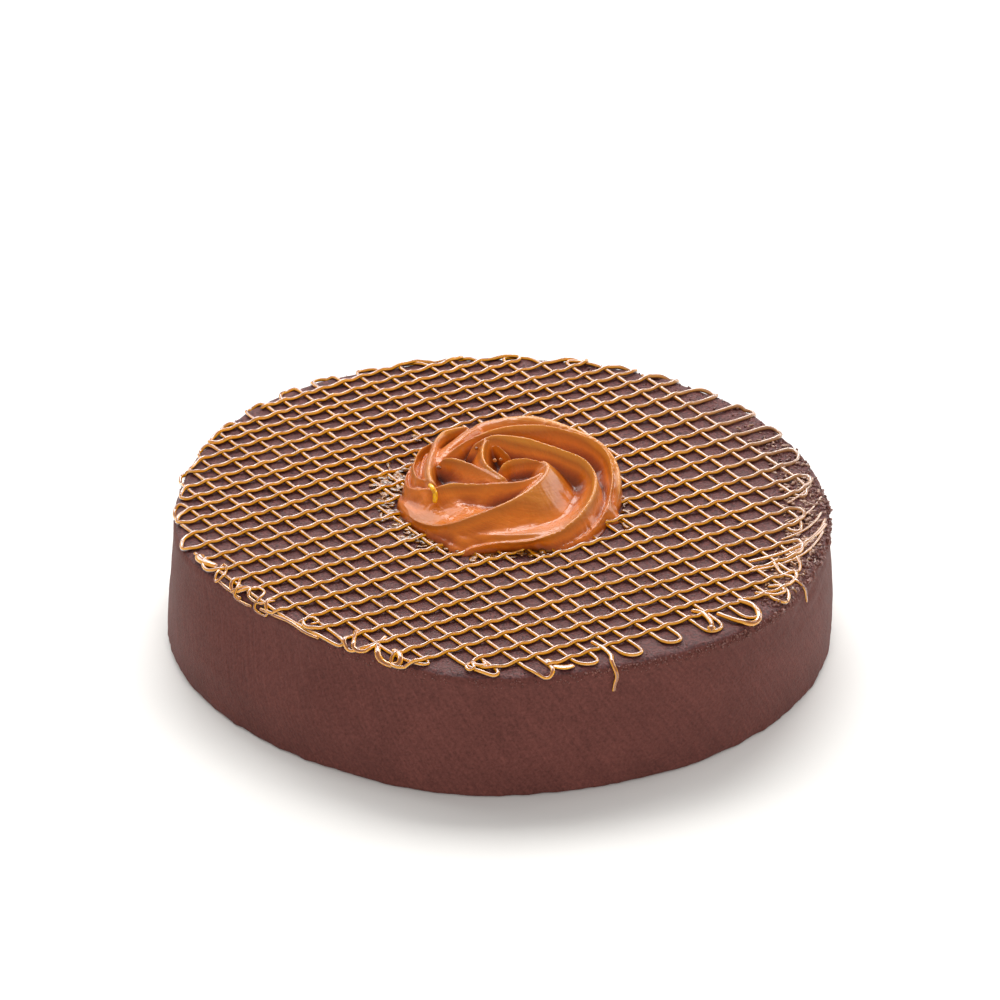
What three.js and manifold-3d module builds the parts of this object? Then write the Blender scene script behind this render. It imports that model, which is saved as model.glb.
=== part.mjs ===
// A whole flourless chocolate cake with a piped caramel lattice and a caramel rosette.
// Millimetres, +Z up. The cake stands on z = 0 and its front faces -Y.
import * as THREE from 'three';
import { mergeVertices } from 'three/addons/utils/BufferGeometryUtils.js';
import Module from 'manifold-3d';

const wasm = await Module();
wasm.setup();

// ---------------------------------------------------------------- driving dimensions

// The cake comes out of a 9 inch round tin.
const TIN_DIAMETER = 228.6;
const BODY_HEIGHT = 44.3;
const TOP_RADIUS = 113;
// The cake's own axis, set so that its uneven outline is centred on the origin.
const AXIS_X = 1.2;
const AXIS_Y = -0.15;
const WALL_SEGMENTS = 60;

// Foot: a thin crumbly lip that turns in under the wall.
const FOOT_INSET = 1.6;
const FOOT_HEIGHT = 1.6;
// Rim: the rounded edge between wall and top.
const RIM_ROUND = 3;

// The wall swells a little low down, most of all on the left side.
const SWELL = 0.3;
const SWELL_LEFT = 2.2;
const SWELL_HEIGHT = 13;

// The shoulder at the left front is pressed in, and slopes out to the wall below it.
const SHOULDER_INSET = 8.5;
const SHOULDER_AZIMUTH = 230;
const SHOULDER_HALF_WIDTH = 55;
const SHOULDER_START = 12;

// Lattice: two sets of strands, each piped as one zigzag with a turn at the rim.
const STRAND_WIDTH = 2.1;
// The flanks run on below the top face, so that only the ridge stands out of it.
const STRAND_SINK = 9;
const TURN_SINK = 1;
// A turn laps onto its strands, and lies a touch lower than they do.
const TURN_LAP = 0.6;
const TURN_DROP = 0.1;
const LOWER_HEIGHT = 1.35;
const UPPER_HEIGHT = 2;
const LOWER_AZIMUTH = -54;
const UPPER_AZIMUTH = 34;
const STRANDS_BEFORE = { lower: 13, upper: 11 };
const STRANDS_AFTER = { lower: 12, upper: 14 };
const LOWER_PITCH = 8.05;
const PITCH_ALTERNATION = 0.45;
const UPPER_PITCH = 8.9;
// The upper set is piped closer towards the back and at the front edge.
const UPPER_PITCH_LOSS_BACK = 2.1;
const UPPER_PITCH_LOSS_FRONT = 1.3;
const PITCH_JITTER = 0.35;
const TURN_STEPS = 4;
const RIM_MARGIN = 2.6;
// The turns at the right front stop further in from the edge.
const FRONT_MARGIN = 4.5;
const FRONT_MARGIN_AZIMUTH = 300;
const FRONT_MARGIN_HALF_WIDTH = 45;
const MARGIN_JITTER = 0.9;
const SEED = 9;

// Rosette, in the middle of the top.
const ROSETTE_X = 2;
const ROSETTE_Y = 9;
const ROSETTE_RADIUS = 38.5;
const ROSETTE_GAP = 0.3;
const CLEARANCE = 0.6;
const ROSETTE_SEGMENTS = 24;
const RIDGE_HALF_WIDTH = 6.4;
const RIDGE_LEAN = 1.2;
const RIDGE_STEP = 34;

// The soft mass under the ridges: radius and height. It drops towards the front.
const ROSETTE_CORE = [[38.2, 0], [37.5, 3], [34, 8], [27, 11], [17, 12.6], [8, 12.8], [0, 12]];
const CORE_FRONT_DROP = 0.65;
const CORE_FRONT_HALF_WIDTH = 120;

// Ridges left by the star nozzle, each a spiral that runs outwards clockwise, seen from
// above. Azimuth in degrees, radius from the rosette's middle, crest above the top face.
const RIDGES = [
  [[268, 11, 14], [236, 9, 14.6], [190, 11.5, 14.6], [160, 20.5, 13.8], [101, 22, 17.4],
    [58, 28, 16.6], [13, 35, 10.5], [325, 35, 4.5]],
  [[255, 9.5, 15], [189, 7.5, 17], [126, 13, 18], [72, 14.5, 18], [17, 25, 14.4],
    [340, 30.5, 9.5], [299, 34, 6], [252, 35.5, 3.5]],
  [[3, 13, 15.4], [326, 14.5, 14.5], [288, 17.5, 13], [255, 27, 10.4], [226, 34.5, 6],
    [180, 36, 4]],
  [[340, 12.5, 15.2], [292, 12, 14.5], [250, 13.5, 14], [208, 24, 12.4], [180, 33, 8.6],
    [140, 34.5, 10.6], [90, 33, 15.8], [45, 35.5, 14.2], [350, 36, 6.5]],
  [[226, 6, 15], [130, 2.5, 16], [40, 7, 16.2], [0, 11.5, 15.8]],
];

// ---------------------------------------------------------------- small helpers

const radians = THREE.MathUtils.degToRad;
const { smoothstep } = THREE.MathUtils;

/** A seeded random number in -1 to 1. */
function makeDraw(seed) {
  let state = seed;
  return () => {
    state = (state * 1664525 + 1013904223) % 4294967296;
    return (state / 4294967296) * 2 - 1;
  };
}

/** 1 at the middle azimuth, falling smoothly to 0 at halfWidth degrees from it. */
function bumpAt(azimuth, middle, halfWidth) {
  const away = Math.abs(((azimuth - middle + 540) % 360) - 180);
  return away < halfWidth ? 0.5 * (1 + Math.cos((Math.PI * away) / halfWidth)) : 0;
}

function azimuthOf(x, y) {
  return (THREE.MathUtils.radToDeg(Math.atan2(y, x)) + 360) % 360;
}

function toManifold(geometry) {
  const bare = geometry.index ? geometry.toNonIndexed() : geometry.clone();
  bare.deleteAttribute('normal');
  bare.deleteAttribute('uv');
  const merged = mergeVertices(bare, 1e-4);
  return new wasm.Manifold(new wasm.Mesh({
    numProp: 3,
    vertProperties: new Float32Array(merged.attributes.position.array),
    triVerts: new Uint32Array(merged.index.array),
  }));
}

function toGeometry(manifold) {
  const mesh = manifold.getMesh();
  const geometry = new THREE.BufferGeometry();
  geometry.setAttribute('position', new THREE.BufferAttribute(mesh.vertProperties, 3));
  geometry.setIndex(new THREE.BufferAttribute(mesh.triVerts, 1));
  geometry.computeVertexNormals();
  return geometry;
}

/** Triangles across a section, a list of [sideways, up] points, turning anticlockwise. */
function acrossSection(section) {
  const flat = section.map(([side, up]) => new THREE.Vector2(side, up));
  return THREE.ShapeUtils.triangulateShape(flat, []).map(([a, b, c]) => {
    const ab = flat[b].clone().sub(flat[a]);
    const ac = flat[c].clone().sub(flat[a]);
    return ab.cross(ac) > 0 ? [a, b, c] : [a, c, b];
  });
}

/** A closed body whose section, a list of [left, up] points that turns anticlockwise,
 *  stands across a path, with mitred corners. */
function alongPath(path, sectionAt) {
  const sections = path.map((point, i) => sectionAt(point, i));
  const points = path.flatMap((point, i) => {
    const before = path[Math.max(i - 1, 0)];
    const after = path[Math.min(i + 1, path.length - 1)];
    const inward = new THREE.Vector2(point.x - before.x, point.y - before.y);
    const outward = new THREE.Vector2(after.x - point.x, after.y - point.y);
    if (i === 0) inward.copy(outward);
    if (i === path.length - 1) outward.copy(inward);
    const along = inward.normalize().add(outward.normalize()).multiplyScalar(0.5);
    const stretch = 1 / along.lengthSq();
    return sections[i].map(([left, up]) => new THREE.Vector3(
      point.x - along.y * stretch * left,
      point.y + along.x * stretch * left,
      up,
    ));
  });
  const count = sections[0].length;
  const last = points.length - count;
  const index = [];
  for (let i = 0; i < last; i += count) {
    for (let j = 0; j < count; j++) {
      const [a, b] = [i + j, i + ((j + 1) % count)];
      index.push(a, b, b + count, a, b + count, a + count);
    }
  }
  acrossSection(sections[0]).forEach(([a, b, c]) => index.push(a, c, b));
  acrossSection(sections.at(-1)).forEach(([a, b, c]) => index.push(last + a, last + b, last + c));
  return new THREE.BufferGeometry().setFromPoints(points).setIndex(index);
}

// ---------------------------------------------------------------- the cake's body

/** The outline's radius at a height, on one azimuth. */
function wallRadius(azimuth, z) {
  const swell = SWELL + SWELL_LEFT * bumpAt(azimuth, 180, 90);
  const low = smoothstep(z, 0, SWELL_HEIGHT) * (1 - smoothstep(z, SWELL_HEIGHT, BODY_HEIGHT));
  const fall = TIN_DIAMETER / 2 - topRadius(azimuth);
  return TIN_DIAMETER / 2 + swell * low - fall * smoothstep(z, SHOULDER_START, BODY_HEIGHT);
}

/** The radius of the top's edge, before it is rounded. */
function topRadius(azimuth) {
  return TOP_RADIUS + SWELL_LEFT * 0.5 * bumpAt(azimuth, 170, 60)
    - SHOULDER_INSET * bumpAt(azimuth, SHOULDER_AZIMUTH, SHOULDER_HALF_WIDTH);
}

/** A turned disc whose wall is then moved in and out by wallRadius. */
function cakeBody() {
  const edge = TIN_DIAMETER / 2;
  const profile = [new THREE.Vector2(0, 0), new THREE.Vector2(edge - FOOT_INSET, 0)];
  for (const z of [FOOT_HEIGHT, SWELL_HEIGHT, 22, 31, BODY_HEIGHT - RIM_ROUND]) {
    profile.push(new THREE.Vector2(edge, z));
  }
  for (const turn of [45, 90]) {
    profile.push(new THREE.Vector2(
      edge - RIM_ROUND * (1 - Math.cos(radians(turn))),
      BODY_HEIGHT - RIM_ROUND * (1 - Math.sin(radians(turn))),
    ));
  }
  profile.push(new THREE.Vector2(0, BODY_HEIGHT));
  const geometry = new THREE.LatheGeometry(profile, WALL_SEGMENTS).rotateX(Math.PI / 2);
  const position = geometry.attributes.position;
  for (let i = 0; i < position.count; i++) {
    const [x, y, z] = [position.getX(i), position.getY(i), position.getZ(i)];
    const radius = Math.hypot(x, y);
    if (radius > edge / 2) {
      const moved = radius - edge + wallRadius(azimuthOf(x, y), z);
      position.setXY(i, (x * moved) / radius, (y * moved) / radius);
    }
  }
  return toManifold(geometry);
}

// ---------------------------------------------------------------- the lattice

/** Distances of one set's strands from the cake's axis, from front to back. */
function strandOffsets(set, draw) {
  const pitchAt = (offset, index) => {
    const uneven = (index % 2 ? 1 : -1) * PITCH_ALTERNATION + PITCH_JITTER * draw();
    if (set === 'lower') return LOWER_PITCH + uneven;
    return UPPER_PITCH + PITCH_JITTER * draw()
      - UPPER_PITCH_LOSS_BACK * smoothstep(offset, 20, 60)
      - UPPER_PITCH_LOSS_FRONT * smoothstep(-offset, 72, 92);
  };
  const offsets = [0];
  for (let i = 0; i < STRANDS_AFTER[set]; i++) {
    offsets.push(offsets.at(-1) + pitchAt(offsets.at(-1), i));
  }
  for (let i = 0; i < STRANDS_BEFORE[set]; i++) {
    offsets.unshift(offsets[0] - pitchAt(offsets[0], i + 1));
  }
  return offsets;
}

/** How far out a strand may run on an azimuth. */
function strandReach(azimuth) {
  return topRadius(azimuth) - RIM_MARGIN
    - FRONT_MARGIN * bumpAt(azimuth, FRONT_MARGIN_AZIMUTH, FRONT_MARGIN_HALF_WIDTH);
}

/** How far the strand at this offset runs from its middle, one way, or 0 where it would
 *  lie off the top. */
function strandRun(along, across, offset, sign, shorten) {
  for (let run = TOP_RADIUS; run > 0; run -= 0.5) {
    const x = across.x * offset + along.x * run * sign;
    const y = across.y * offset + along.y * run * sign;
    if (Math.hypot(x, y) < strandReach(azimuthOf(x, y)) - shorten) return run;
  }
  return 0;
}

/** The points of the turn between two neighbouring strands, bulging out at the rim. */
function roundTurn(from, to, outward) {
  const middle = from.clone().add(to).multiplyScalar(0.5);
  const arm = from.clone().sub(middle);
  const turn = Array.from({ length: TURN_STEPS + 1 }, (_, k) => (Math.PI * k) / TURN_STEPS);
  return [
    from.clone().addScaledVector(outward, -TURN_LAP),
    ...turn.map((angle) => middle.clone().addScaledVector(arm, Math.cos(angle))
      .addScaledVector(outward, arm.length() * Math.sin(angle))),
    to.clone().addScaledVector(outward, -TURN_LAP),
  ];
}

/** A strand's section: a ridge whose flanks run on below the top face. */
function strandSection(height, sink) {
  const half = (STRAND_WIDTH / 2) * (1 + sink / height);
  const low = BODY_HEIGHT - sink;
  return [[-half, low], [half, low], [0, BODY_HEIGHT + height]];
}

/** One set of strands, piped forwards and back as one zigzag with turns at the rim. */
function zigzag(set, azimuth, height) {
  const draw = makeDraw(SEED + azimuth);
  const along = new THREE.Vector2(Math.cos(radians(azimuth)), Math.sin(radians(azimuth)));
  const across = new THREE.Vector2(-along.y, along.x);
  const pieces = [];
  let last = null;
  strandOffsets(set, draw).forEach((offset, i) => {
    const sign = i % 2 ? -1 : 1;
    const shorten = LOWER_PITCH / 2 + MARGIN_JITTER * draw();
    const [start, end] = [-sign, sign].map((way) => across.clone().multiplyScalar(offset)
      .addScaledVector(along, way * strandRun(along, across, offset, way, shorten)));
    if (start.distanceTo(end) < 2 * LOWER_PITCH) return;
    pieces.push(toManifold(alongPath([start, end], () => strandSection(height, STRAND_SINK))));
    if (last) {
      const path = roundTurn(last, start, along.clone().multiplyScalar(-sign));
      const section = strandSection(height - TURN_DROP, TURN_SINK);
      pieces.push(toManifold(alongPath(path, () => section)));
    }
    last = end;
  });
  return pieces;
}

/** The round patch of the top on which the rosette stands, as a cutter. */
function rosettePatch() {
  const radius = ROSETTE_RADIUS + CLEARANCE;
  const half = 2 * UPPER_HEIGHT;
  return toManifold(new THREE.CylinderGeometry(radius, radius, 2 * half, ROSETTE_SEGMENTS)
    .rotateX(Math.PI / 2)
    .translate(ROSETTE_X, ROSETTE_Y, BODY_HEIGHT + half));
}

// ---------------------------------------------------------------- the rosette

/** One ridge: a hollow-sided blade along a spiral, down to the rosette's base. */
function ridgeBlade(knots, base) {
  const curve = new THREE.CatmullRomCurve3(knots.map(([azimuth, radius, height]) =>
    new THREE.Vector3(
      ROSETTE_X + radius * Math.cos(radians(azimuth)),
      ROSETTE_Y + radius * Math.sin(radians(azimuth)),
      BODY_HEIGHT + height,
    )), false, 'centripetal');
  const turn = knots.slice(1).reduce((sum, [azimuth], i) =>
    sum + ((knots[i][0] - azimuth + 360) % 360), 0);
  const steps = Math.max(5, Math.round(turn / RIDGE_STEP));
  return toManifold(alongPath(curve.getPoints(steps), (crest) => {
    const high = crest.z - base;
    const radius = Math.hypot(crest.x - ROSETTE_X, crest.y - ROSETTE_Y);
    const inner = Math.min(RIDGE_HALF_WIDTH, 2.5 + high * 0.4);
    const outer = Math.min(inner, ROSETTE_RADIUS - radius);
    return [
      [RIDGE_LEAN, crest.z],
      [-inner * 0.45, base + high * 0.42],
      [-inner, base],
      [outer, base],
      [outer * 0.5, base + high * 0.42],
    ];
  }));
}

/** The soft mass under the ridges: a turned mound that is lower at the front. */
function rosetteCore() {
  const profile = [new THREE.Vector2(0, ROSETTE_GAP)];
  for (const [radius, height] of ROSETTE_CORE) {
    profile.push(new THREE.Vector2(radius, ROSETTE_GAP + height));
  }
  const geometry = new THREE.LatheGeometry(profile, ROSETTE_SEGMENTS).rotateX(Math.PI / 2);
  const position = geometry.attributes.position;
  for (let i = 0; i < position.count; i++) {
    const [x, y, z] = [position.getX(i), position.getY(i), position.getZ(i)];
    const front = bumpAt(azimuthOf(x, y), 270, CORE_FRONT_HALF_WIDTH);
    const outer = smoothstep(Math.hypot(x, y), ROSETTE_RADIUS / 4, ROSETTE_RADIUS);
    position.setZ(i, ROSETTE_GAP + (z - ROSETTE_GAP) * (1 - CORE_FRONT_DROP * front * outer));
  }
  return toManifold(geometry.translate(ROSETTE_X, ROSETTE_Y, BODY_HEIGHT));
}

function rosetteBody() {
  const base = BODY_HEIGHT + ROSETTE_GAP;
  return wasm.Manifold.union([
    rosetteCore(),
    ...RIDGES.map((knots) => ridgeBlade(knots, base)),
  ]);
}

// ---------------------------------------------------------------- the named pieces

const ganache = new THREE.MeshStandardMaterial({ color: '#5a3c38', roughness: 0.55, metalness: 0 });
ganache.name = 'chocolate ganache';
const caramel = new THREE.MeshStandardMaterial({ color: '#b9763c', roughness: 0.25, metalness: 0 });
caramel.name = 'soft caramel';

function addPiece(group, name, solid, material) {
  const mesh = new THREE.Mesh(toGeometry(solid), material);
  mesh.name = name;
  group.add(mesh);
}

const lattice = wasm.Manifold.union([
  ...zigzag('lower', LOWER_AZIMUTH, LOWER_HEIGHT),
  ...zigzag('upper', UPPER_AZIMUTH, UPPER_HEIGHT),
]).subtract(rosettePatch());

const cake = new THREE.Group();
cake.position.set(AXIS_X, AXIS_Y, 0);
addPiece(cake, 'cake', cakeBody().add(lattice), ganache);
addPiece(cake, 'rosette', rosetteBody(), caramel);

export default cake;
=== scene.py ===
# %% [markdown]
# A flourless chocolate cake, dressed for the camera.
# The real thing is a dense round cake under a thin coat of chocolate ganache, smoothed with a
# spatula. A caramel lattice is piped over the top, and a caramel rosette sits in the middle.
# The solids of the frame give the sizes and the places. This script makes the surfaces that the
# eye sees, at the same size and in the same place, and leaves the solids to carry the physics.

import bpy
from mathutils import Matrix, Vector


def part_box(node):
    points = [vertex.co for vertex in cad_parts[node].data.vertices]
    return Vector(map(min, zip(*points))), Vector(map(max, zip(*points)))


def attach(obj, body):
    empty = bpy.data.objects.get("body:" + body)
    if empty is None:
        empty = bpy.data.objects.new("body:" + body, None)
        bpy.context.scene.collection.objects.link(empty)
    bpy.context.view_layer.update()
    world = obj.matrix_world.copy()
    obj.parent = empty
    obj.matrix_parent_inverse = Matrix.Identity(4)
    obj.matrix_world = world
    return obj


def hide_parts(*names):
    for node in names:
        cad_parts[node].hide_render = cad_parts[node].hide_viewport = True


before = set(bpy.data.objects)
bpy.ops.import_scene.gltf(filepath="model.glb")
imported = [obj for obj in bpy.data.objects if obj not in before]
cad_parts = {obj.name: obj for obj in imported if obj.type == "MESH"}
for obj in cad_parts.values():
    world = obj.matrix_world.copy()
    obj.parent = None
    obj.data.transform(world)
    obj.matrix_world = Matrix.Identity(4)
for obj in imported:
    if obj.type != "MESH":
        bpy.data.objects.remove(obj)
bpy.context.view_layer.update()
print("frame nodes:", sorted(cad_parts))

# %% [markdown]
# Blender's modules make the meshes and materials, and NumPy does the arithmetic on whole arrays of
# points. Lengths are in millimetres, as a baker or a drawing gives them, and MM turns them into
# the scene's metres.

# %% Tools and units
import math

import bmesh
import bpy
import numpy as np
from mathutils import Euler, Matrix, Vector
from mathutils.kdtree import KDTree

MM = 0.001  # one millimetre in the scene's metres
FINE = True
print("full detail:", FINE)

# %% [markdown]
# The driving sizes are those of the frame: the tin, the height and the cake's own axis, which
# stands a little off the origin because the outline is uneven. Everything below is placed from
# that axis, and add_piece moves it to the frame's origin.

# %% Driving sizes
TIN_RADIUS = 114.3  # of a 9 inch tin
TOP_RADIUS = 113.0
HEIGHT = 44.3
AXIS = np.array([1.2, -0.15])
RIM_ROUND = 3.0  # radius of the rounded rim
ROSETTE_AT = np.array([2.0, 9.0])  # from the cake's axis
cake_low, cake_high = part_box("cake")
print("cake across, mm:", round((cake_high[0] - cake_low[0]) / MM, 1))

# %% [markdown]
# Food is uneven at every scale, so most pieces below are moved by smooth noise. This value noise
# draws one seeded number at each corner of a lattice and blends between the corners, for whole
# arrays of points at once. Its size in millimetres is stated wherever it is used.

# %% Smooth noise
FACTOR_A, FACTOR_B, SEED_STEP = 0x9E3779B97F4A7C15, 0xBF58476D1CE4E5B9, 2654435761  # for the hash


def noise(points, size, seed):
    """Smooth noise in -1 to 1 at each point (n x 2 or 3), with features of about size."""
    scaled = np.asarray(points, float) / np.asarray(size, float)
    cell = np.floor(scaled).astype(np.int64)
    part = scaled - cell
    part = part * part * (3 - 2 * part)
    total = np.zeros(len(scaled))
    dims = scaled.shape[1]
    for corner in range(2**dims):
        bits = np.array([(corner >> d) & 1 for d in range(dims)])
        key = (cell + bits).astype(np.uint64)
        mixed = np.full(len(scaled), seed * SEED_STEP + 97, np.uint64)
        for d in range(dims):
            mixed = (mixed ^ (key[:, d] * np.uint64(FACTOR_A))) * np.uint64(FACTOR_B)
            mixed ^= mixed >> np.uint64(29)
        value = (mixed >> np.uint64(40)).astype(float) / 2**24 * 2 - 1
        weight = np.prod(np.where(bits, part, 1 - part), axis=1)
        total += value * weight
    return total


def bump_at(azimuth, middle, half_width):
    """1 at the middle azimuth in degrees, falling smoothly to 0 at half_width from it."""
    away = np.abs((azimuth - middle + 540) % 360 - 180)
    return np.where(away < half_width, 0.5 * (1 + np.cos(np.pi * away / half_width)), 0.0)


def ease(x, low, high):
    """0 below low, 1 above high, smooth between."""
    t = np.clip((x - low) / (high - low), 0, 1)
    return t * t * (3 - 2 * t)


def azimuth_of(x, y):
    return np.degrees(np.arctan2(y, x)) % 360


print("noise at two points:", noise([[0.2, 0.1], [3.4, 1.7]], 2, 1).round(2))

# %% [markdown]
# These helpers turn arrays into Blender meshes. The first makes one object from points in millimetres
# and faces, gives it a material and a body, and hides the frame's part that it stands for. The next
# two read a mesh's points back and write a value at each of them, for a material to use.

# %% Mesh helpers
def add_piece(name, points, faces, material, slot, node=None):
    mesh = bpy.data.meshes.new(name)
    placed = np.asarray(points, float) + [AXIS[0], AXIS[1], 0]
    mesh.from_pydata((placed * MM).tolist(), [], faces)
    mesh.validate()
    mesh.shade_smooth()
    piece = bpy.data.objects.new(name, mesh)
    bpy.context.scene.collection.objects.link(piece)
    mesh.materials.append(material)
    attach(piece, "root")
    if node:
        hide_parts(node)
    print(name, "triangles:", sum(len(p.vertices) - 2 for p in mesh.polygons))
    return piece


def read_points(mesh):
    """The mesh's points in millimetres from the frame's origin, one in a row."""
    points = np.empty(len(mesh.vertices) * 3)
    mesh.vertices.foreach_get("co", points)
    return points.reshape(-1, 3) / MM


def write_attribute(mesh, name, values):
    """One number or one vector for each point of the mesh."""
    kind, field = ("FLOAT", "value") if np.ndim(values) == 1 else ("FLOAT_VECTOR", "vector")
    mesh.attributes.new(name, kind, "POINT").data.foreach_set(field, np.ravel(values))


def tube_sides(count, sides):
    """Faces between that many rings of points, as the sides of an open tube."""
    return [(i * sides + j, i * sides + (j + 1) % sides,
             (i + 1) * sides + (j + 1) % sides, (i + 1) * sides + j)
            for i in range(count - 1) for j in range(sides)]


def tube_faces(count, sides):
    """The same with a cap at both ends."""
    last = (count - 1) * sides
    return tube_sides(count, sides) + [tuple(reversed(range(sides))), tuple(range(last, last + sides))]


def join(parts):
    """Several (points, faces) as one."""
    points, faces, start = [], [], 0
    for some, more in parts:
        points.append(some)
        faces += [tuple(v + start for v in face) for face in more]
        start += len(some)
    return np.concatenate(points), faces


print("a cube as a tube has", len(tube_faces(2, 4)), "faces")

# %% [markdown]
# Every strand of caramel is an oval swept along a path, with round ends. A path is given by a few
# knots and smoothed by a curve that passes through them all, so a knot is where the thread lies.

# %% Swept strands
SIDES = 12  # corners of a strand's section


def sweep(path, half_width, half_height, up=(0, 0, 1)):
    """Points and faces of a closed tube with an oval section along a path of points. Its section
    stands along up, and each ring starts at the side, so point number % SIDES tells where on the
    section a point lies."""
    path = np.asarray(path, float)
    step = np.linalg.norm(np.diff(path, axis=0), axis=1)
    run = np.concatenate([[0], np.cumsum(step)])
    tangent = np.gradient(path, axis=0)
    tangent /= np.linalg.norm(tangent, axis=1)[:, None]
    side = np.cross(tangent, up)
    side /= np.maximum(np.linalg.norm(side, axis=1), 1e-6)[:, None]
    up = np.cross(side, tangent)
    wide = np.broadcast_to(half_width, run.shape).astype(float)
    high = np.broadcast_to(half_height, run.shape).astype(float)
    near = np.minimum(run, run[-1] - run) / wide
    taper = np.sqrt(np.clip(1 - (1 - np.clip(near, 0, 1)) ** 2, 0.0025, 1))
    wide, high = wide * taper, high * taper
    angle = np.linspace(0, 2 * np.pi, SIDES, endpoint=False)
    ring = (side[:, None] * (wide[:, None] * np.cos(angle))[..., None]
            + up[:, None] * (high[:, None] * np.sin(angle))[..., None])
    return (path[:, None] + ring).reshape(-1, 3), tube_faces(len(path), SIDES)


def smooth_path(knots, spacing):
    """A Catmull-Rom curve through the knots, sampled about every spacing."""
    knots = np.asarray(knots, float)
    padded = np.vstack([2 * knots[0] - knots[1], knots, 2 * knots[-1] - knots[-2]])
    fine = []
    for a, b, c, d in zip(padded, padded[1:], padded[2:], padded[3:]):
        count = max(2, int(np.linalg.norm(c - b) / spacing * 1.2) + 1)
        t = np.linspace(0, 1, count, endpoint=False)[:, None]
        fine.append(0.5 * (2 * b + (c - a) * t + (2 * a - 5 * b + 4 * c - d) * t**2
                           + (3 * b - a - 3 * c + d) * t**3))
    fine.append(knots[-1:])
    return resample(np.concatenate(fine), spacing)


def resample(path, spacing):
    """The same path with points at even steps of about spacing."""
    run = np.concatenate([[0], np.cumsum(np.linalg.norm(np.diff(path, axis=0), axis=1))])
    even = np.linspace(0, run[-1], max(3, int(run[-1] / spacing) + 1))
    return np.stack([np.interp(even, run, path[:, d]) for d in range(path.shape[1])], axis=1)


print("points on a 20 mm path:", len(smooth_path([(0, 0), (10, 3), (20, 0)], 0.5)))

# %% [markdown]
# Materials are made from nodes. One function turns an sRGB hex colour to linear light, and one
# adds a node with its settings and links, so that each material below reads as a short recipe.

# %% Material helpers
def linear(hex_colour, alpha=1.0):
    """An sRGB hex colour, such as '#68403b', as linear RGBA."""
    parts = [int(hex_colour[i:i + 2], 16) / 255 for i in (1, 3, 5)]
    return (*[c / 12.92 if c <= 0.04045 else ((c + 0.055) / 1.055) ** 2.4 for c in parts], alpha)


def add_node(tree, kind, settings=None, **links):
    """A shader node of that kind. Settings are its properties or input values by name. Links are
    what feeds its inputs: another node, which stands for its first output, or one output."""
    node = tree.nodes.new("ShaderNode" + kind)
    for name, value in (settings or {}).items():
        if isinstance(name, int) or name in node.inputs:
            node.inputs[name].default_value = value
        else:
            setattr(node, name, value)
    for name, source in links.items():
        key = int(name[1:]) if name[0] == "i" and name[1:].isdigit() else name.replace("_", " ")
        output = source.outputs[0] if hasattr(source, "outputs") else source
        tree.links.new(output, node.inputs[key])
    return node


def colour_ramp(tree, stops, factor):
    """A colour ramp with a stop for each (place, hex colour), driven by factor."""
    ramp = add_node(tree, "ValToRGB", Fac=factor)
    while len(ramp.color_ramp.elements) < len(stops):
        ramp.color_ramp.elements.new(0.5)
    for element, (place, colour) in zip(ramp.color_ramp.elements, stops):
        element.position = place
        element.color = linear(colour)
    return ramp


def new_material(name):
    material = bpy.data.materials.new(name)
    material.use_nodes = True
    tree = material.node_tree
    tree.nodes.clear()
    return material, tree


print("half grey in linear light:", round(linear("#808080")[0], 3))

# %% [markdown]
# Ganache is chocolate melted into cream. Spread thin and chilled it sets to a satin skin: it
# scatters light like soft plastic (IOR near 1.46) and is smooth enough for a broad sheen. The
# spatula leaves faint streaks, and tiny grains of cocoa show as a fine mottle. Real grains are
# under a tenth of a millimetre. They are drawn coarser, at one millimetre, because a render's
# pixels would lose finer ones. Where the skin tore, the chocolate below is redder and wetter.

# %% Ganache, spread with a spatula and chilled
GRAIN = 1.0  # mm


def spread_ganache(name, dark, light, gloss, dull, streaks):
    """Ganache between two colours, with its specular level, its roughness and how streaky it is."""
    material, tree = new_material(name)
    where = add_node(tree, "TexCoord").outputs["Object"]
    grain = add_node(tree, "TexNoise", {"Scale": 1 / (GRAIN * MM), "Detail": 5.0, "Roughness": 0.7},
                     Vector=where)
    cloud = add_node(tree, "TexNoise", {"Scale": 1 / (22 * MM), "Detail": 3.0}, Vector=where)
    base = colour_ramp(tree, [(0.34, dark), (0.66, light)], grain)
    tint = colour_ramp(tree, [(0.35, "#f0f0f0"), (0.65, "#ffffff")], cloud)
    spread = add_node(tree, "Attribute", {"attribute_name": "spread"}).outputs["Vector"]
    streak = add_node(tree, "TexNoise", {"Scale": 1.0, "Detail": 3.0}, Vector=spread)
    band = add_node(tree, "MapRange", {"To Min": 1 - 0.35 * streaks, "To Max": 1 + 0.35 * streaks},
                    Value=streak)
    lined = add_node(tree, "Mix", {"data_type": "RGBA", "blend_type": "MULTIPLY", 0: 1.0},
                     i6=base, i7=band)
    colour = add_node(tree, "Mix", {"data_type": "RGBA", "blend_type": "MULTIPLY", 0: 1.0},
                      i6=lined.outputs[2], i7=tint)
    rough = add_node(tree, "MapRange", {"To Min": dull - 0.1, "To Max": dull + 0.1}, Value=grain)
    pits = add_node(tree, "TexNoise", {"Scale": 1 / (GRAIN * MM), "Detail": 6.0, "Roughness": 0.65},
                    Vector=where)
    drag = add_node(tree, "Bump", {"Strength": streaks, "Distance": 0.3 * MM}, Height=streak)
    relief = add_node(tree, "Bump", {"Strength": 1.0, "Distance": (0.8 - 0.4 * streaks) * MM},
                      Height=pits, Normal=drag)
    skin = add_node(tree, "BsdfPrincipled", {"IOR": 1.46, "Specular IOR Level": gloss},
                    Base_Color=colour.outputs[2], Roughness=rough, Normal=relief)
    add_node(tree, "OutputMaterial", Surface=skin)
    return material


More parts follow.
